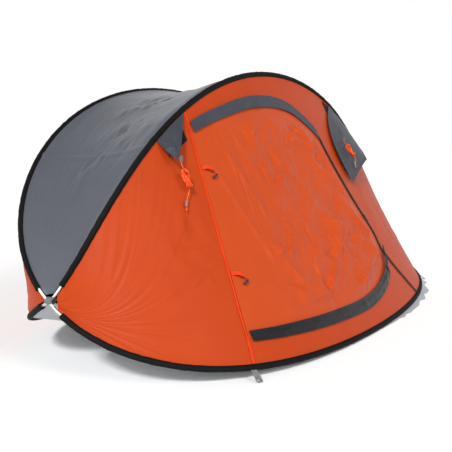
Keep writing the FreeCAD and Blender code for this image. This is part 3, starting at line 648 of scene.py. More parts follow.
def build_stage():
    scene = bpy.context.scene
    lens = bpy.data.cameras.new("camera")
    lens.lens, lens.sensor_width, lens.clip_end = CAMERA_LENS, 36.0, 200.0
    camera = bpy.data.objects.new("camera", lens)
    camera.location = CAMERA_PLACE
    camera.rotation_euler = (math.pi / 2 + CAMERA_PITCH, 0, -CAMERA_YAW)
    scene.collection.objects.link(camera)
    scene.camera = camera
    world = bpy.data.worlds.new("studio")
    world.use_nodes = True
    nodes, links = world.node_tree.nodes, world.node_tree.links
    towards = nodes.new("ShaderNodeTexCoord")
    parts = nodes.new("ShaderNodeSeparateXYZ")
    dome = nodes.new("ShaderNodeMapRange")
    dome.inputs["From Min"].default_value = 0.25
    dome.inputs["From Max"].default_value = 0.75
    dome.inputs["To Min"].default_value = 1.0
    dome.inputs["To Max"].default_value = ZENITH
    links.new(towards.outputs["Generated"], parts.inputs["Vector"])
    links.new(parts.outputs["Z"], dome.inputs["Value"])
    nodes["Background"].inputs["Color"].default_value = (1, 1, 1, 1)
    links.new(dome.outputs["Result"], nodes["Background"].inputs["Strength"])
    scene.world = world
    for name, place, spread, power in SUNS:
        data = bpy.data.lights.new(name, "SUN")
        data.angle, data.energy = math.radians(spread), power
        lamp = bpy.data.objects.new(name, data)
        lamp.location = place
        lamp.rotation_euler = (Vector((0, 0, 0.4)) - lamp.location).to_track_quat("-Z", "Y").to_euler()
        scene.collection.objects.link(lamp)
    ground = bpy.data.meshes.new("studio_floor")
    far = STUDIO_REACH
    ground.from_pydata([(-far, -far, 0), (far, -far, 0), (far, far, 0), (-far, far, 0)], [], [(0, 1, 2, 3)])
    floor_object = bpy.data.objects.new("studio_floor", ground)
    pale = Shader("studio_floor", Base_Color=(0.92, 0.92, 0.92, 1), Roughness=0.9)
    ground.materials.append(pale.material)
    scene.collection.objects.link(floor_object)
    scene.view_settings.view_transform = "Standard"
    scene.view_settings.look = "None"


# ---------------------------------------------------------------- poles and sleeves


def walk(pole, start, distance):
    """The angle reached by walking along a pole; a negative distance walks backwards."""
    angles = start + np.linspace(0, math.copysign(0.3, distance), 600)
    done = np.append(0, np.cumsum(np.linalg.norm(np.diff(pole(angles), axis=0), axis=-1)))
    return float(np.interp(abs(distance), done, angles))


def build_sleeves():
    """Cloth sleeves round the poles, slightly gathered, and open at their ends."""
    for name, pole, direction in (
        ("ground_front", outer_hoop, -1),
        ("arch_rear", outer_hoop, 1),
        ("ground_rear", inner_hoop, -1),
        ("arch_front", inner_hoop, 1),
    ):
        first = walk(pole, 0, direction * SLEEVE_START)
        last = walk(pole, direction * math.pi, -direction * SLEEVE_START)
        path = pole(np.linspace(first, last, 640))
        sides = np.arange(SLEEVE_SIDES) / SLEEVE_SIDES
        along, around = crossed(lengths(path[:, None], 0), sides * 6)
        gather = 0.0007 * noise(along * 55, around, 31) + 0.0004 * noise(along * 160, around, 32)
        radius = SLEEVE_RADIUS + gather + 0.0006
        radius[:4] = radius[-4:] = SLEEVE_RADIUS + 0.0012
        if "ground" in name:
            radius = np.minimum(radius, POLE_HEIGHT)
        obj = tube_object(f"sleeve_{name}", path, radius, SLEEVE_RADIUS - 0.0015)
        finish(obj, BLACK, "tent", [f"sleeve_{name}"])


def seam_bands():
    """The black binding that sews each sleeve to its cloth."""
    x = HALF_LENGTH * along_x(np.linspace(0.06, math.pi - 0.06, 460))[::-1]
    bands = {
        "front_foot": (front_wall, -0.003, 0.003, 0.0012),
        "front_head": (front_wall, 0.997, 1.003, 0.0012),
        "rear_foot": (rear_wall, -0.003, 0.003, -0.0012),
        "rear_head": (rear_wall, 0.997, 1.003, -0.0012),
        "roof_front": (roof, -0.003, 0.005, 0.0012),
        "roof_rear": (roof, 0.995, 1.003, 0.0012),
    }
    for name, (surface, low, high, lift) in bands.items():
        a, b = crossed(x, np.linspace(low, high, 4))
        points = surface(a, b)
        relief = lift + 0.0004 * noise(a * 90, b * 40, 41)
        cloth(f"binding_{name}", points, relief, BINDING_THICK, BLACK, "tent")


def build_fittings():
    """The bare rods and their ferrules near the crossings, and the webbing wound round each."""
    for node in frame["nodes"]:
        material = ROD if node.startswith("rod_") else STEEL if node.startswith("ferrule_") else None
        if material:
            obj = bpy.data.objects[node]
            obj.data.materials.clear()
            obj.data.materials.append(material)
    for name, angle in (("right", 0.0), ("left", math.pi)):
        centre = (outer_hoop(angle) + inner_hoop(angle)) / 2
        turns = np.linspace(0, 2 * math.pi * 3.5, 150)
        swing = turns / turns[-1]
        wide, tall = 0.0135, 0.0105
        path = np.stack(
            [
                centre[0] + wide * np.cos(turns),
                centre[1] + 0.006 * np.sin(turns * 0.5 + 0.4),
                centre[2] + (tall + 0.0008 * swing) * np.sin(turns),
            ],
            -1,
        )
        points = strip_points(path, (0, 1, 0), 0.014)
        obj = shell(f"crossing_wrap_{name}", points, WEBBING_THICK)
        finish(obj, WEBBING, "tent", [f"crossing_wrap_{name}"])


# ---------------------------------------------------------------- walls, roof and floor


def roof_relief(x, share):
    """Faint tension folds, a few crushed patches and the seams across the roof."""
    h = share * 0.55
    pull = 0.0006 * fan(x, h, (-1.35, 0.30), 16, 51) * step(-x, 0.1, 0.7)
    pull += 0.0010 * fan(x, h, (1.35, 0.30), 16, 52) * step(x, 0.1, 0.7)
    crushed = patch(x, share, (-0.48, 0.42), (0.16, 0.3))
    crushed += 0.8 * patch(x, share, (-0.78, 0.35), (0.08, 0.2))
    crushed += 0.5 * patch(x, share, (0.55, 0.5), (0.2, 0.25))
    crush = 0.004 * crushed * crumple(x, h * 0.6, 0.075, 53) + creases(x, share, ROOF_CREASES, 56)
    seam = 0.0030 * (np.exp(-(((x + 0.93) / 0.006) ** 2)) + np.exp(-(((x - 0.93) / 0.006) ** 2)))
    edge = plateau(share, 0.0, 0.08, 0.92, 1.0)
    broad = 0.010 * noise(x * 2.6 + 3, h * 2.2, 54) + 0.0015 * noise(x * 9, h * 5, 55)
    return (pull + crush + broad) * edge + seam


def wall_relief(x, share):
    """The stretched outer walls: low folds that spread from the corners."""
    edge = plateau(share, 0.0, 0.07, 0.93, 1.0)
    pull = 0.0016 * fan(x, share, (-1.25, 0.25), 13, 61) * step(-x, 0.75, 0.95)
    pull += 0.0016 * fan(x, share, (1.25, 0.25), 13, 62) * step(x, 0.5, 0.9)
    crushed = patch(x, share, (-0.95, 0.48), (0.07, 0.13))
    crush = creases(x, share, WALL_CREASES, 63) + 0.002 * crushed * noise(x * 14, share * 14, 65)
    sag = 0.0012 * noise(x * 4, share * 4, 64)
    return (pull + crush + sag) * edge


def creases(x, h, areas, seed):
    """Many short sharp creases: each steep on one side, as where crushed cloth has dried flat."""
    pick = np.random.default_rng(seed)
    tall = np.zeros_like(x)
    for (low_x, high_x, low_h, high_h), count, reach, height in areas:
        for _ in range(count):
            cx, ch = pick.uniform(low_x, high_x), pick.uniform(low_h, high_h)
            turn, long = pick.uniform(0, math.pi), pick.uniform(0.4, 1.0) * reach
            rise_by = height * pick.uniform(0.4, 1.0) * pick.choice((-1, 1, 1))
            width, bend = pick.uniform(0.006, 0.014), pick.uniform(-0.12, 0.12)
            along = ((x - cx) * math.cos(turn) + (h - ch) * math.sin(turn)) / long
            off = (x - cx) * math.sin(turn) - (h - ch) * math.cos(turn) + bend * long * along**2
            fade = np.clip(1 - along * along * 1.4, 0, 1) ** 1.5
            broad = np.where(off > 0, width, width * 3.5)
            tall += rise_by * fade * np.exp(-np.abs(off) / broad)
    return tall


def door_relief(x, share, across, up):
    """The slack door: long folds from its head, crushed cloth on the right, big folds low down."""
    rim = plateau(across, 0.0, 0.09, 0.84, 0.97) * plateau(up, 0.02, 0.12, 0.86, 0.96)
    hang = 0.0030 * fan(x, share, (-0.50, 1.55), 20, 71)
    hang *= plateau(x, -0.75, -0.60, -0.35, -0.05) * (0.35 + 0.65 * step(share, 0.2, 0.8))
    crush = creases(x, share, DOOR_CREASES, 72)
    soft = 0.007 * step(x, -0.45, 0.05) * noise(x * 9 + 4, share * 7 + x * 3, 73)
    for place in DOOR_FOLDS:
        crush = crush + fold(x, share, *place)
    slack = 0.010 * step(x, -0.5, 0.10) * step(share, 0.1, 0.3)
    return (hang + crush + soft + slack) * rim + 0.0005 * noise(x * 25, share * 25, 75)


# Areas of creases in the door: bounds as (x, x, share, share), how many, their reach and height
DOOR_CREASES = (
    ((-0.44, 0.17, 0.58, 0.89), 170, 0.075, 0.0060),
    ((-0.50, 0.26, 0.32, 0.62), 150, 0.100, 0.0062),
    ((-0.58, 0.28, 0.12, 0.40), 120, 0.130, 0.0085),
    ((-0.68, -0.30, 0.15, 0.85), 40, 0.100, 0.0030),
)

# Larger folds in the door: start, end, width, height and how far each bends sideways
DOOR_FOLDS = (
    ((-0.72, 0.80), (-0.62, 0.30), 0.012, 0.0035),
    ((-0.64, 0.86), (-0.50, 0.22), 0.014, 0.0045),
    ((-0.55, 0.88), (-0.40, 0.20), 0.012, 0.0038),
    ((-0.45, 0.88), (-0.30, 0.24), 0.016, 0.0054),
    ((-0.36, 0.87), (-0.24, 0.35), 0.012, 0.0042),
    ((-0.05, 0.62), (0.20, 0.40), 0.022, 0.0192, 0.02),
    ((0.02, 0.50), (0.24, 0.27), 0.026, 0.0256, -0.02),
    ((-0.20, 0.42), (0.16, 0.20), 0.020, 0.0176, 0.03),
    ((-0.42, 0.14), (-0.05, 0.36), 0.015, 0.0144, 0.02),
    ((-0.30, 0.12), (0.12, 0.24), 0.022, 0.0192, -0.02),
    ((0.08, 0.72), (0.15, 0.50), 0.016, 0.0192),
    ((-0.10, 0.75), (0.10, 0.58), 0.014, 0.0112, 0.02),
)

# Fine creases pressed into the front walls and the roof
WALL_CREASES = (
    ((-1.04, -0.82, 0.38, 0.68), 34, 0.090, 0.0030),
    ((0.40, 0.95, 0.15, 0.80), 26, 0.120, 0.0030),
)
ROOF_CREASES = (
    ((-0.62, -0.30, 0.15, 0.70), 22, 0.080, 0.0060),
    ((-1.0, -0.75, 0.2, 0.6), 18, 0.080, 0.0040),
)


def side_points():
    """The line down the right side of the door, from the ground up to the arch."""
    return [(SILL_END_X, 0.0), *DOOR_RIGHT[::-1], DOOR_TOP[-1], (DOOR_TOP[-1][0], 1.0)]


def stretch(border, start, end):
    return lambda t: border(start + (end - start) * np.asarray(t, float))


def door_outline():
    """The line down the door's right side, where the door lies on it, and the door's borders."""
    side = curve(side_points())
    points = np.array(side_points())
    knots = np.append(0, np.cumsum(np.hypot(*np.diff(points, axis=0).T)))
    foot, head = knots[1] / knots[-1], knots[-2] / knots[-1]
    head_left = (float(seam_x(DOOR_HEAD_LEVEL)), DOOR_HEAD_LEVEL)
    foot_left = (float(seam_x(DOOR_FOOT_LEVEL)), DOOR_FOOT_LEVEL)
    top = curve([head_left, *DOOR_TOP])
    bottom = curve([foot_left, *DOOR_BOTTOM[::-1], DOOR_RIGHT[-1]])
    return side, foot, head, bottom, top


def end_to_end(first, last, columns, rows):
    """Wall coordinates over the whole length of the tent, between two angles on a hoop."""
    return crossed(HALF_LENGTH * along_x(np.linspace(first, last, columns)), np.linspace(0, 1, rows))


def build_walls():
    side, foot, head, bottom, top = door_outline()
    head_x = DOOR_TOP[-1][0]
    zip_side = shifted(side, ZIP_HALF_GAP)
    panels = {
        "wall_front_left": (
            region(
                line((-END_X, 0.0), (-END_X, 1.0)),
                seam_line(0.0, 1.0, -SEAM_GAP),
                line((-END_X, 0.0), (SEAM_FOOT_X, 0.0)),
                line((-END_X, 1.0), (SEAM_HEAD_X, 1.0)),
            ),
            (120, 130),
        ),
        "wall_front_header": (
            region(
                seam_line(DOOR_HEAD_LEVEL, 1.0, -SEAM_GAP),
                stretch(zip_side, head, 1.0),
                top,
                line((SEAM_HEAD_X, 1.0), (head_x + ZIP_HALF_GAP, 1.0)),
            ),
            (220, 24),
        ),
        "wall_front_sill": (
            region(
                seam_line(0.0, DOOR_FOOT_LEVEL, -SEAM_GAP),
                stretch(zip_side, 0.0, foot),
                line((SEAM_FOOT_X, 0.0), (SILL_END_X + ZIP_HALF_GAP, 0.0)),
                bottom,
            ),
            (260, 36),
        ),
        "wall_front_right": (
            region(
                zip_side,
                line((END_X, 0.0), (END_X, 1.0)),
                line((SILL_END_X + ZIP_HALF_GAP, 0.0), (END_X, 0.0)),
                line((head_x + ZIP_HALF_GAP, 1.0), (END_X, 1.0)),
            ),
            (200, 170),
        ),
    }
    for name, (area, size) in panels.items():
        u, w = grid(*size)
        if name == "wall_front_left":
            u = u**2
        elif name == "wall_front_right":
            u = 1 - (1 - u) ** 2
        place = area(u, w)
        x, share = place[..., 0], place[..., 1]
        relief = wall_relief(x, share)
        cloth(name, front_wall(x, share), relief, WALL_THICK, ORANGE, "tent", [name])
    door = region(
        seam_line(DOOR_FOOT_LEVEL, DOOR_HEAD_LEVEL, SEAM_GAP),
        stretch(shifted(side, -ZIP_HALF_GAP), foot, head),
        shifted(bottom, 0.0, HEM_GAP),
        shifted(top, 0.0, -HEM_GAP),
    )
    across, up = grid(*DOOR_GRID)
    place = door(across, up)
    x, share = place[..., 0], place[..., 1]
    cloth(
        "door_panel", front_wall(x, share), door_relief(x, share, across, up), WALL_THICK, DOOR_ORANGE,
        "door", ["door_panel"],
    )
    x, share = end_to_end(END_ANGLE, math.pi - END_ANGLE, 260, 70)
    edge = plateau(share, 0.0, 0.07, 0.93, 1.0)
    relief = 0.0016 * (fan(x, share, (-1.3, 0.3), 13, 81) + fan(x, share, (1.3, 0.3), 13, 82))
    relief = edge * (relief + 0.004 * noise(x * 3, share * 3, 83))
    cloth(
        "wall_rear", rear_wall(x, share), relief, WALL_THICK, ORANGE,
        "tent", ["wall_rear"],
    )
    x, share = end_to_end(math.pi - END_ANGLE, END_ANGLE, 330, 90)
    cloth(
        "roof", roof(x, share), roof_relief(x, share), WALL_THICK, GREY,
        "tent", ["roof_left", "roof_middle", "roof_right"],
    )


def build_floor():
    """The groundsheet: flat on the ground, and turned up to the ground poles all round."""
    angle, across = crossed(np.linspace(math.pi - 0.035, 0.035, 260), np.linspace(0, 1, 80))
    front, rear = outer_hoop(-angle), inner_hoop(-angle)
    flat = np.array([FLOOR_SCALE_X, FLOOR_SCALE_Y, 0.0])
    front_edge, rear_edge = front * flat, rear * flat
    side = 0.16
    low = np.clip(across / side, 0, 1)[..., None]
    high = np.clip((1 - across) / side, 0, 1)[..., None]
    middle = np.clip((across - side) / (1 - 2 * side), 0, 1)[..., None]
    reach = 0.009
    front = front + unit(front_edge - front) * reach
    rear = rear + unit(rear_edge - rear) * reach
    front_side = front + (front_edge - front) * low
    rear_side = rear + (rear_edge - rear) * high
    base = front_edge + (rear_edge - front_edge) * middle
    share = across[..., None]
    points = np.where(share < side, front_side, np.where(share > 1 - side, rear_side, base))
    x, y = points[..., 0], points[..., 1]
    fold_band = np.clip(1 - np.abs(across - 0.5) * 2, 0, 1)
    edge = step(fold_band, 0.32, 0.44)
    crush = 0.5 + crumple(x, y, 0.12, 91)
    relief = edge * (0.0006 + 0.004 * np.clip(crush, 0, 1) * (0.4 + 0.6 * (fold_band < 0.45)))
    points[..., 2] = np.maximum(points[..., 2], 0.0008) + relief
    cloth(
        "groundsheet", points, 0.0, FLOOR_THICK, FLOOR, "tent",
        ["groundsheet", "groundsheet_side_front", "groundsheet_side_rear"],
    )


def build_apron():
    """The groundsheet's loose, wrinkled edge, which shows on the ground beyond the front pole."""
    t, out = grid(170, 12)
    angle = angle_at(-0.15 + 1.20 * t)
    foot = outer_hoop(-angle)
    along = outer_hoop(-angle + 0.01) - outer_hoop(-angle - 0.01)
    away = unit(np.stack([along[..., 1], -along[..., 0], 0 * t], -1))
    away = away * np.where(away[..., 1:2] > 0, -1, 1)
    fade = plateau(t, 0.0, 0.35, 0.80, 1.0)
    wavy = 0.75 + 0.35 * noise(t * 26, 0 * t, 95)
    points = foot + away * (0.004 + (0.006 + 0.030 * fade * wavy) * out)[..., None]
    low = 0.0012 + (foot[..., 2] - 0.0095) * (1 - out) * 0.6
    crease = 0.0050 * np.abs(noise(t * 60 + out * 3, out * 1.2, 96)) * (0.3 + 0.7 * out) * (0.2 + 0.8 * fade)
    points[..., 2] = np.maximum(low, 0.0012) + crease
    cloth("groundsheet_edge", points, 0.0, FLOOR_THICK, FLOOR, "tent")


# ---------------------------------------------------------------- door trim


def flap(border, low, high, seed):
    """A storm flap over the zip: a strip with lengthwise folds and a turned hem."""
    u, w = grid(*FLAP_GRID)
    place = border(0.008 + 0.99 * u)
    x = place[..., 0]
    share = place[..., 1] + low + (high - low) * w
    points = front_wall(x, share)
    folds = 0.0030 * (1 - np.abs(noise(u * 5, w * 2.6, seed))) * (0.5 + 0.5 * noise(u * 4, w * 0, seed + 1))
    folds += 0.0014 * noise(u * 30, w * 3, seed + 2)
    hem = 0.0012 * (step(w, 0.0, 0.05) - step(w, 0.10, 0.16) + step(w, 0.84, 0.90))
    return points, 0.0050 + np.abs(folds) + hem


def build_trim():
    side, foot, head, bottom, top = door_outline()
    half = FLAP_WIDTH_LEVEL / 2
    points, relief = flap(top, -half, half, 101)
    cloth("flap_top", points, relief, TRIM_THICK, TRIM, "door", ["flap_top"])
    points, relief = flap(bottom, -half * 0.8, half * 1.1, 111)
    u, w = grid(*FLAP_GRID)
    gather = step(u, 0.72, 0.98)
    relief = relief + gather * (0.006 * np.abs(noise(u * 60, w * 2, 113)) + 0.006 * w)
    relief = relief + 0.004 * (1 - np.abs(2 * w - 1)) * step(u, 0.0, 0.1)
    cloth("flap_foot", points, relief, TRIM_THICK, DARK_TRIM, "door", ["flap_foot"])
    # The zip tape runs black from the ground up to the door's head. Below the door's foot, where there are no
    # teeth, it is a black strip of painted shade in a tension crease of the wall. Beside the door its black
    # also paints the shade of the gap where the door lies recessed.
    t = np.linspace(0.004, head, 220)
    centre = side(t)
    offsets = np.linspace(-0.012, 0.012, 7)
    x = centre[:, 0, None] + offsets
    share = np.broadcast_to(centre[:, 1, None], x.shape)
    points = front_wall(x, share)[:, ::-1]
    cloth("zip_tape", points, 0.0030, TAPE_THICK, ZIP_TAPE_AND_SHADE, "tent", ["zip_tape"])
    build_teeth(side, foot, head)
    share, w = crossed(np.linspace(0.004, 0.996, 240), np.linspace(0, 1, 5))
    wavy = 0.0016 * noise(share * 30, share * 0, 121) * (1 - step(share, 0.15, 0.35))
    wavy += 0.0006 * noise(share * 22, w * 0, 122)
    x = seam_x(share) - 0.0090 + 0.0060 * w + wavy
    lift = 0.0020 + 0.0022 * np.abs(noise(share * 34, w, 123)) * (0.25 + 0.75 * (1 - step(share, 0.1, 0.3)))
    cloth(
        "seam_ribbon", front_wall(x, share)[:, ::-1], lift[:, ::-1], TRIM_THICK, RIBBON,
        "tent", ["seam_ribbon"],
    )


def build_teeth(side, foot, head):
    """The zip's coil teeth, in two rows that mesh down the middle of the tape."""
    t = np.linspace(foot, head, 330)
    centre = side(t)
    place = front_wall(centre[:, 0], centre[:, 1])
    out = wall_normal(centre[:, 0], centre[:, 1])
    along = unit(np.gradient(place, axis=0))
    across = np.cross(along, out)
    made_verts, made_faces = [], []
    box = np.array([(x, y, z) for x in (-1, 1) for y in (-1, 1) for z in (-1, 1)], float)
    sides = ((0, 1, 3, 2), (4, 6, 7, 5), (0, 4, 5, 1), (2, 3, 7, 6), (0, 2, 6, 4), (1, 5, 7, 3))
    for k in range(len(t)):
        shift = 0.0016 * (1 if k % 2 else -1)
        middle = place[k] + out[k] * 0.0044 + across[k] * shift
        corners = middle + box @ np.stack([across[k] * 0.0022, along[k] * 0.0008, out[k] * 0.0011])
        made_faces += [[8 * k + c for c in face] for face in sides]
        made_verts.append(corners)
    obj = mesh_object("zip_teeth", np.concatenate(made_verts), made_faces, smooth=False)
    finish(obj, PLASTIC, "tent")


def wall_normal(x, share):
    """The front wall's outward direction."""
    x, share = np.broadcast_arrays(np.asarray(x, float), np.asarray(share, float))
    low, high = np.maximum(share - 0.02, 0), np.minimum(share + 0.02, 1)
    across = front_wall(x + 0.01, share) - front_wall(x - 0.01, share)
    return unit(np.cross(across, front_wall(x, high) - front_wall(x, low)))


def wall_point(x, share, lift):
    return front_wall(x, share) + wall_normal(x, share) * np.asarray(lift, float)[..., None]


def node_frame(node, along, out):
    """A local frame on a CAD node's middle, with Z along, Y out and X across."""
    low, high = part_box(node)
    along = unit(np.asarray(along, float))
    out = unit(np.asarray(out, float) - along * (np.asarray(out, float) @ along))
    return axes((low + high) / 2, np.cross(out, along), out, along)


def build_slider():
    joint = {j["name"]: j for j in frame["joints"]}["zip_slide"]
    along = np.array(joint["axis"])
    side, foot, head, _, _ = door_outline()
    x, share = side(foot + 0.5 * (head - foot))
    out = wall_normal(x, share)
    body = [
        ((0, 0.0012, 0), (0.009, 0.0012, 0.0135)),
        ((0, -0.0012, 0.001), (0.0085, 0.0012, 0.0120)),
        ((0, 0.0026, 0), (0.0028, 0.0020, 0.0085)),
    ]
    obj = blocks("zip_slider", node_frame("zip_slider", along, out), body, 0.0004)
    finish(obj, PLASTIC, "slider", ["zip_slider"])
    body = [
        ((0, 0, 0.0110), (0.0046, 0.0016, 0.0060)),
        ((0, 0, -0.0040), (0.0034, 0.0013, 0.0220)),
        ((0, 0.0002, -0.0110), (0.0050, 0.0018, 0.0070)),
    ]
    obj = blocks("zip_puller", node_frame("zip_puller", along, out), body, 0.0004)
    finish(obj, PLASTIC, "puller", ["zip_puller"])


def build_ties():
    """The ribbons that hold the rolled door, doubled over, each with a moulded toggle."""
    for name, level in TIE_LEVELS.items():
        root = float(seam_x(level)) + 0.004
        t = np.linspace(0, 1, 60)
        x = root + 0.044 * t
        share = level - 0.038 * t**1.3
        lift = 0.0030 + 0.0100 * np.sin(math.pi * t) ** 1.2 + 0.004 * t
        path = wall_point(x, share, lift)
        tilt = wall_point(x, share + 0.008, lift + 0.001) - path
        points = strip_points(path, tilt, 0.0115)
        curl = 0.0012 * noise(t[:, None] * 6, np.linspace(0, 2, 7)[None], 131)
        cloth(
            f"tie_ribbon_{name}", points, curl, BINDING_THICK, RIBBON,
            "door", [f"tie_ribbon_{name}"],
        )
        place = node_frame(f"tie_toggle_{name}", (0.8, -0.1, 0.45), (0, -1, 0))
        half = [
            (0.0010, -0.0120), (0.0030, -0.0118), (0.0038, -0.0108), (0.0039, -0.0070),
            (0.0034, -0.0064), (0.0034, -0.0052), (0.0039, -0.0046),
        ]
        obj = lathe(f"tie_toggle_{name}", place, mirrored(half), steps=28)
        finish(obj, PLASTIC, f"toggle_{name}", [f"tie_toggle_{name}"])


# ---------------------------------------------------------------- vents, straps and guy lines


def hood(top_low, top_high, foot_low, foot_high, bulge, puff, seed):
    """A vent hood sewn to the arch along its top edge, whose foot stands out from the wall."""
    u, w = grid(110, 90)
    corners = [np.array(c)[:, None, None] for c in (top_low, top_high, foot_low, foot_high)]
    top = corners[0] + (corners[1] - corners[0]) * u
    foot = corners[2] + (corners[3] - corners[2]) * u
    x, share, lift = foot + (top - foot) * w
    side = np.sin(math.pi * w)
    lift = lift + puff * side * np.sin(math.pi * u)
    points = wall_point(x - bulge * (1 - u) * side, share, lift)
    rim = np.minimum(np.minimum(u, 1 - u) * 1.2, w)
    hem = 0.0010 * (1 - step(rim, 0.035, 0.05))
    soft = 0.0040 * side * crumple(u * 0.3, w * 0.35, 0.13, seed) + 0.0012 * noise(u * 9, w * 9, seed + 9)
    return points, hem + soft * step(rim, 0.0, 0.12)


def build_vents():
    for name, corners, bulge, puff, seed in (
        ("left", LEFT_HOOD, 0.004, 0.008, 141),
        ("right", RIGHT_HOOD, 0.105, 0.014, 151),
    ):
        points, relief = hood(*corners, bulge, puff, seed)
        piece = f"vent_hood_{name}"
        cloth(piece, points, relief, TAPE_THICK, TRIM, f"hood_{name}", [piece])
    for name, (low_x, high_x, low, high) in (
        ("left", (-0.872, -0.778, 0.90, 0.985)),
        ("right", (0.455, 0.860, 0.76, 0.985)),
    ):
        u, w = grid(60, 40)
        points = front_wall(low_x + (high_x - low_x) * u, low + (high - low) * w)
        relief = 0.0022 + 0.0004 * noise(u * 12, w * 8, 161)
        piece = f"vent_mesh_{name}"
        cloth(piece, points, relief, FLOOR_THICK, MESH, "tent", [piece])


def build_tabs():
    """Webbing tabs on the hoods, folded over the end of each guy line."""
    for name in ("left", "right"):
        low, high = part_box(f"guy_tab_{name}")
        x, y, z = (low + high) / 2
        half = (high[2] - low[2]) / 2
        bend, pitch = 0.0014, 0.0022
        front = [(x, y - bend, z + half - k * pitch) for k in range(8)]
        fold_over = [
            (x, y - bend * math.cos(a), z - half + 0.0018 - bend * math.sin(a))
            for a in np.linspace(0, math.pi, 9)
        ]
        back = [(x, y + bend, z - half + 0.004 + k * pitch) for k in range(7)]
        path = smooth_path(front + fold_over + back, 60)
        obj = shell(f"guy_tab_{name}", strip_points(path, (1, 0, 0), 0.014), BINDING_THICK)
        finish(obj, WEBBING, f"hood_{name}", [f"guy_tab_{name}"])


def strap_frame(x, side):
    """Where a peg strap leaves the ground sleeve: its root, and its run, side and face axes."""
    pole = (lambda a: outer_hoop(-a)) if side < 0 else (lambda a: inner_hoop(-a))
    angle = float(angle_at(x))
    centre = pole(angle)
    tangent = unit(pole(angle - 0.01) - pole(angle + 0.01))
    out = np.array([tangent[1], -tangent[0], 0]) if side < 0 else np.array([-tangent[1], tangent[0], 0])
    out = unit(out)
    drop = math.asin((centre[2] - 0.003) / (0.010 + STRAP_LENGTH + 0.002))
    run = out * math.cos(drop) - np.array([0, 0, math.sin(drop)])
    face = np.cross(tangent, run)
    face = face if face[2] > 0 else -face
    return centre + run * STRAP_ROOT, run, unit(np.cross(run, face)), face


def build_straps():
    """Webbing loops for pegs on the ground sleeves, each with a plated eyelet."""
    for name, x, side in (
        ("front_left", -STRAP_X, -1),
        ("front_right", STRAP_X, -1),
        ("rear_left", -REAR_STRAP_X, 1),
        ("rear_right", REAR_STRAP_X, 1),
    ):
        root, run, across, face = strap_frame(x, side)
        body = f"strap_{name}"
        t = np.linspace(0, 1, 44)
        path = root + np.outer(t * STRAP_LENGTH - 0.001, run) + np.outer(0.0008 * np.sin(t * 7), face)
        points = strip_points(path, across, STRAP_WIDTH, 13)
        width = points - path[:, None]
        ends = 1 - 0.35 * (1 - step(1 - t, 0.0, 0.16)) ** 2
        points = path[:, None] + width * ends[:, None, None]
        obj = shell(f"peg_strap_{name}", points, STRAP_THICK)
        finish(obj, STRAP, body, [f"peg_strap_{name}"])
        hole = root + run * (STRAP_LENGTH - EYELET_INSET)
        ring = mirrored([(0.0050, -0.0013), (0.0056, -0.0017), (0.0068, -0.0017), (0.0075, -0.0011)])
        place = axes(hole, across, np.cross(face, across), face)
        obj = lathe(f"peg_eyelet_{name}", place, ring, closed=True)
        finish(obj, EYELET, body, [f"peg_eyelet_{name}"])


def spline(name, points, bevel=0.0):
    """A smooth cord whose control points are the given points."""
    data = bpy.data.curves.new(name, "CURVE")
    data.dimensions = "3D"
    made = data.splines.new("NURBS")
    made.points.add(len(points) - 1)
    for spot, place in zip(made.points, points):
        spot.co = (*map(float, place), 1.0)
    made.order_u = 3
    made.use_endpoint_u = True
    made.resolution_u = 4
    data.bevel_depth, data.bevel_resolution = bevel, 3
    data.use_fill_caps = True
    obj = bpy.data.objects.new(name, data)
    bpy.context.scene.collection.objects.link(obj)
    return obj


def spline_length(points):
    obj = spline("measure", points)
    bpy.context.view_layer.update()
    mesh = bpy.data.meshes.new_from_object(obj)
    spots = np.array([v.co for v in mesh.vertices])
    bpy.data.objects.remove(obj)
    return float(np.linalg.norm(np.diff(spots, axis=0), axis=-1).sum())


def hank_turn(half, run):
    """One turn of a hank, as (across, down) places: over the top, down, round the foot and up."""
    arc = np.linspace(0, math.pi, 5)
    over = [(-half * math.cos(a), -run / 2 - half * math.sin(a)) for a in arc]
    under = [(half * math.cos(a), run / 2 + half * math.sin(a)) for a in arc]
    down = [(half, run * f) for f in (-0.25, 0.0, 0.25)]
    up = [(-half, run * f) for f in (0.25, 0.0, -0.25)]
    return over + down + under + up


def hank(top, foot, wall_out, run, layers):
    """A twisted hank's points: nested layers of turns that lie beside and on each other."""
    top, foot, out = (np.asarray(p, float) for p in (top, foot, wall_out))
    down = unit(foot - top)
    out = unit(out - down * (out @ down))
    side = np.cross(down, out)
    pitch = GUY_DIAMETER * 1.10
    deep = (layers[0] - 1) / 2
    local = [(0.0, (deep + 1.6) * pitch, -run / 2 - 0.004), (-0.004, (deep + 1.2) * pitch, -run * 0.30)]
    for layer, count in enumerate(layers):
        half = 0.0068 + layer * pitch
        for row in range(count):
            for k, (a, c) in enumerate(hank_turn(half, run)):
                slip = row + k / 16
                depth = deep + 0.5 - slip if layer == 0 else slip - deep - 0.5
                local.append((a, depth * pitch, c))
    local = local[:-3]
    made = []
    for a, b, c in local:
        twist = 1.4 * c / run
        flat_a = a * math.cos(twist) - b * math.sin(twist)
        flat_b = a * math.sin(twist) + b * math.cos(twist)
        made.append((top + foot) / 2 + side * flat_a + out * flat_b + down * c)
    return made


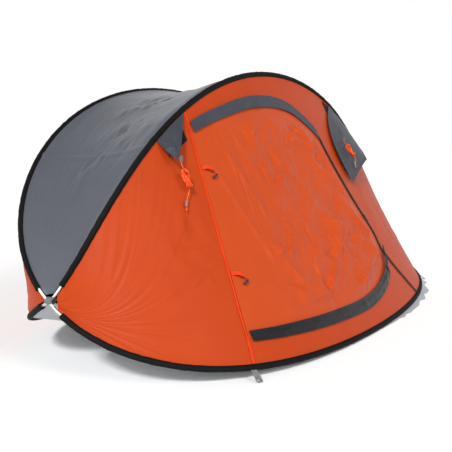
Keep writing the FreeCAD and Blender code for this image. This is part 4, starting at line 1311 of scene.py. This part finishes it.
GUYS = {
    "left": dict(
        start=((-0.8770, -0.2485, 0.6660), (-0.8770, -0.2495, 0.6570)),
        top=(-0.8740, -0.2530, 0.6490),
        foot=(-0.8700, -0.2810, 0.5780),
        tail=((-0.8840, -0.2790, 0.5560), (-0.8900, -0.2800, 0.5440), (-0.9030, -0.2870, 0.5150)),
        length=1.50,
        layers=(5, 5),
    ),
    "right": dict(
        start=((0.4120, -0.3000, 0.7370), (0.4090, -0.3060, 0.7310)),
        top=(0.4040, -0.3200, 0.7200),
        foot=(0.4080, -0.3540, 0.6710),
        tail=((0.4060, -0.3630, 0.6560), (0.4020, -0.3650, 0.6440), (0.3980, -0.3690, 0.6180)),
        length=1.20,
        layers=(4, 4),
    ),
}


def build_guys():
    """The guy lines: each leaves its tab, is wound in a hank, and ends in a runner and a knot."""
    for name, guy in GUYS.items():
        out = (0.0, -0.87, 0.48)
        run = 0.045
        for _ in range(8):
            points = list(guy["start"]) + hank(guy["top"], guy["foot"], out, run, guy["layers"])
            points += list(guy["tail"])
            run += (guy["length"] - spline_length(points)) / (2 * sum(guy["layers"]))
        cord = spline(f"guy_{name}", points, GUY_DIAMETER / 2)
        nodes = [f"guy_{name}", f"guy_{name}_hank", f"guy_{name}_tail"]
        finish(cord, CORD, f"hood_{name}", nodes)
        below, end = np.array(guy["tail"][-2]), np.array(guy["tail"][-1])
        along = unit(below - end)
        place = node_frame(f"guy_{name}_runner", along, (0, -1, 0))
        body = [
            ((0, 0, 0), (0.0088, 0.0064, 0.0150)),
            ((0, 0, 0.0085), (0.0078, 0.0056, 0.0050)),
            ((0, 0, -0.0085), (0.0078, 0.0056, 0.0050)),
        ]
        runner = blocks(f"guy_{name}_runner", place, body, 0.0010)
        finish(runner, GREY_PLASTIC, f"runner_{name}", [f"guy_{name}_runner"])
        profile = [
            (0.0006, -0.0042), (0.0026, -0.0034), (0.0034, -0.0016), (0.0030, 0.0),
            (0.0034, 0.0016), (0.0026, 0.0034), (0.0006, 0.0042),
        ]
        side = unit(np.cross(along, (0, 1, 0)))
        place = axes(end, side, np.cross(along, side), along)
        knot = lathe(f"guy_{name}_knot", place, profile, steps=20)
        finish(knot, CORD, f"hood_{name}")


def main():
    build_stage()
    build_sleeves()
    seam_bands()
    build_fittings()
    build_walls()
    build_floor()
    build_apron()
    build_trim()
    build_slider()
    build_ties()
    build_vents()
    build_tabs()
    build_straps()
    build_guys()


main()
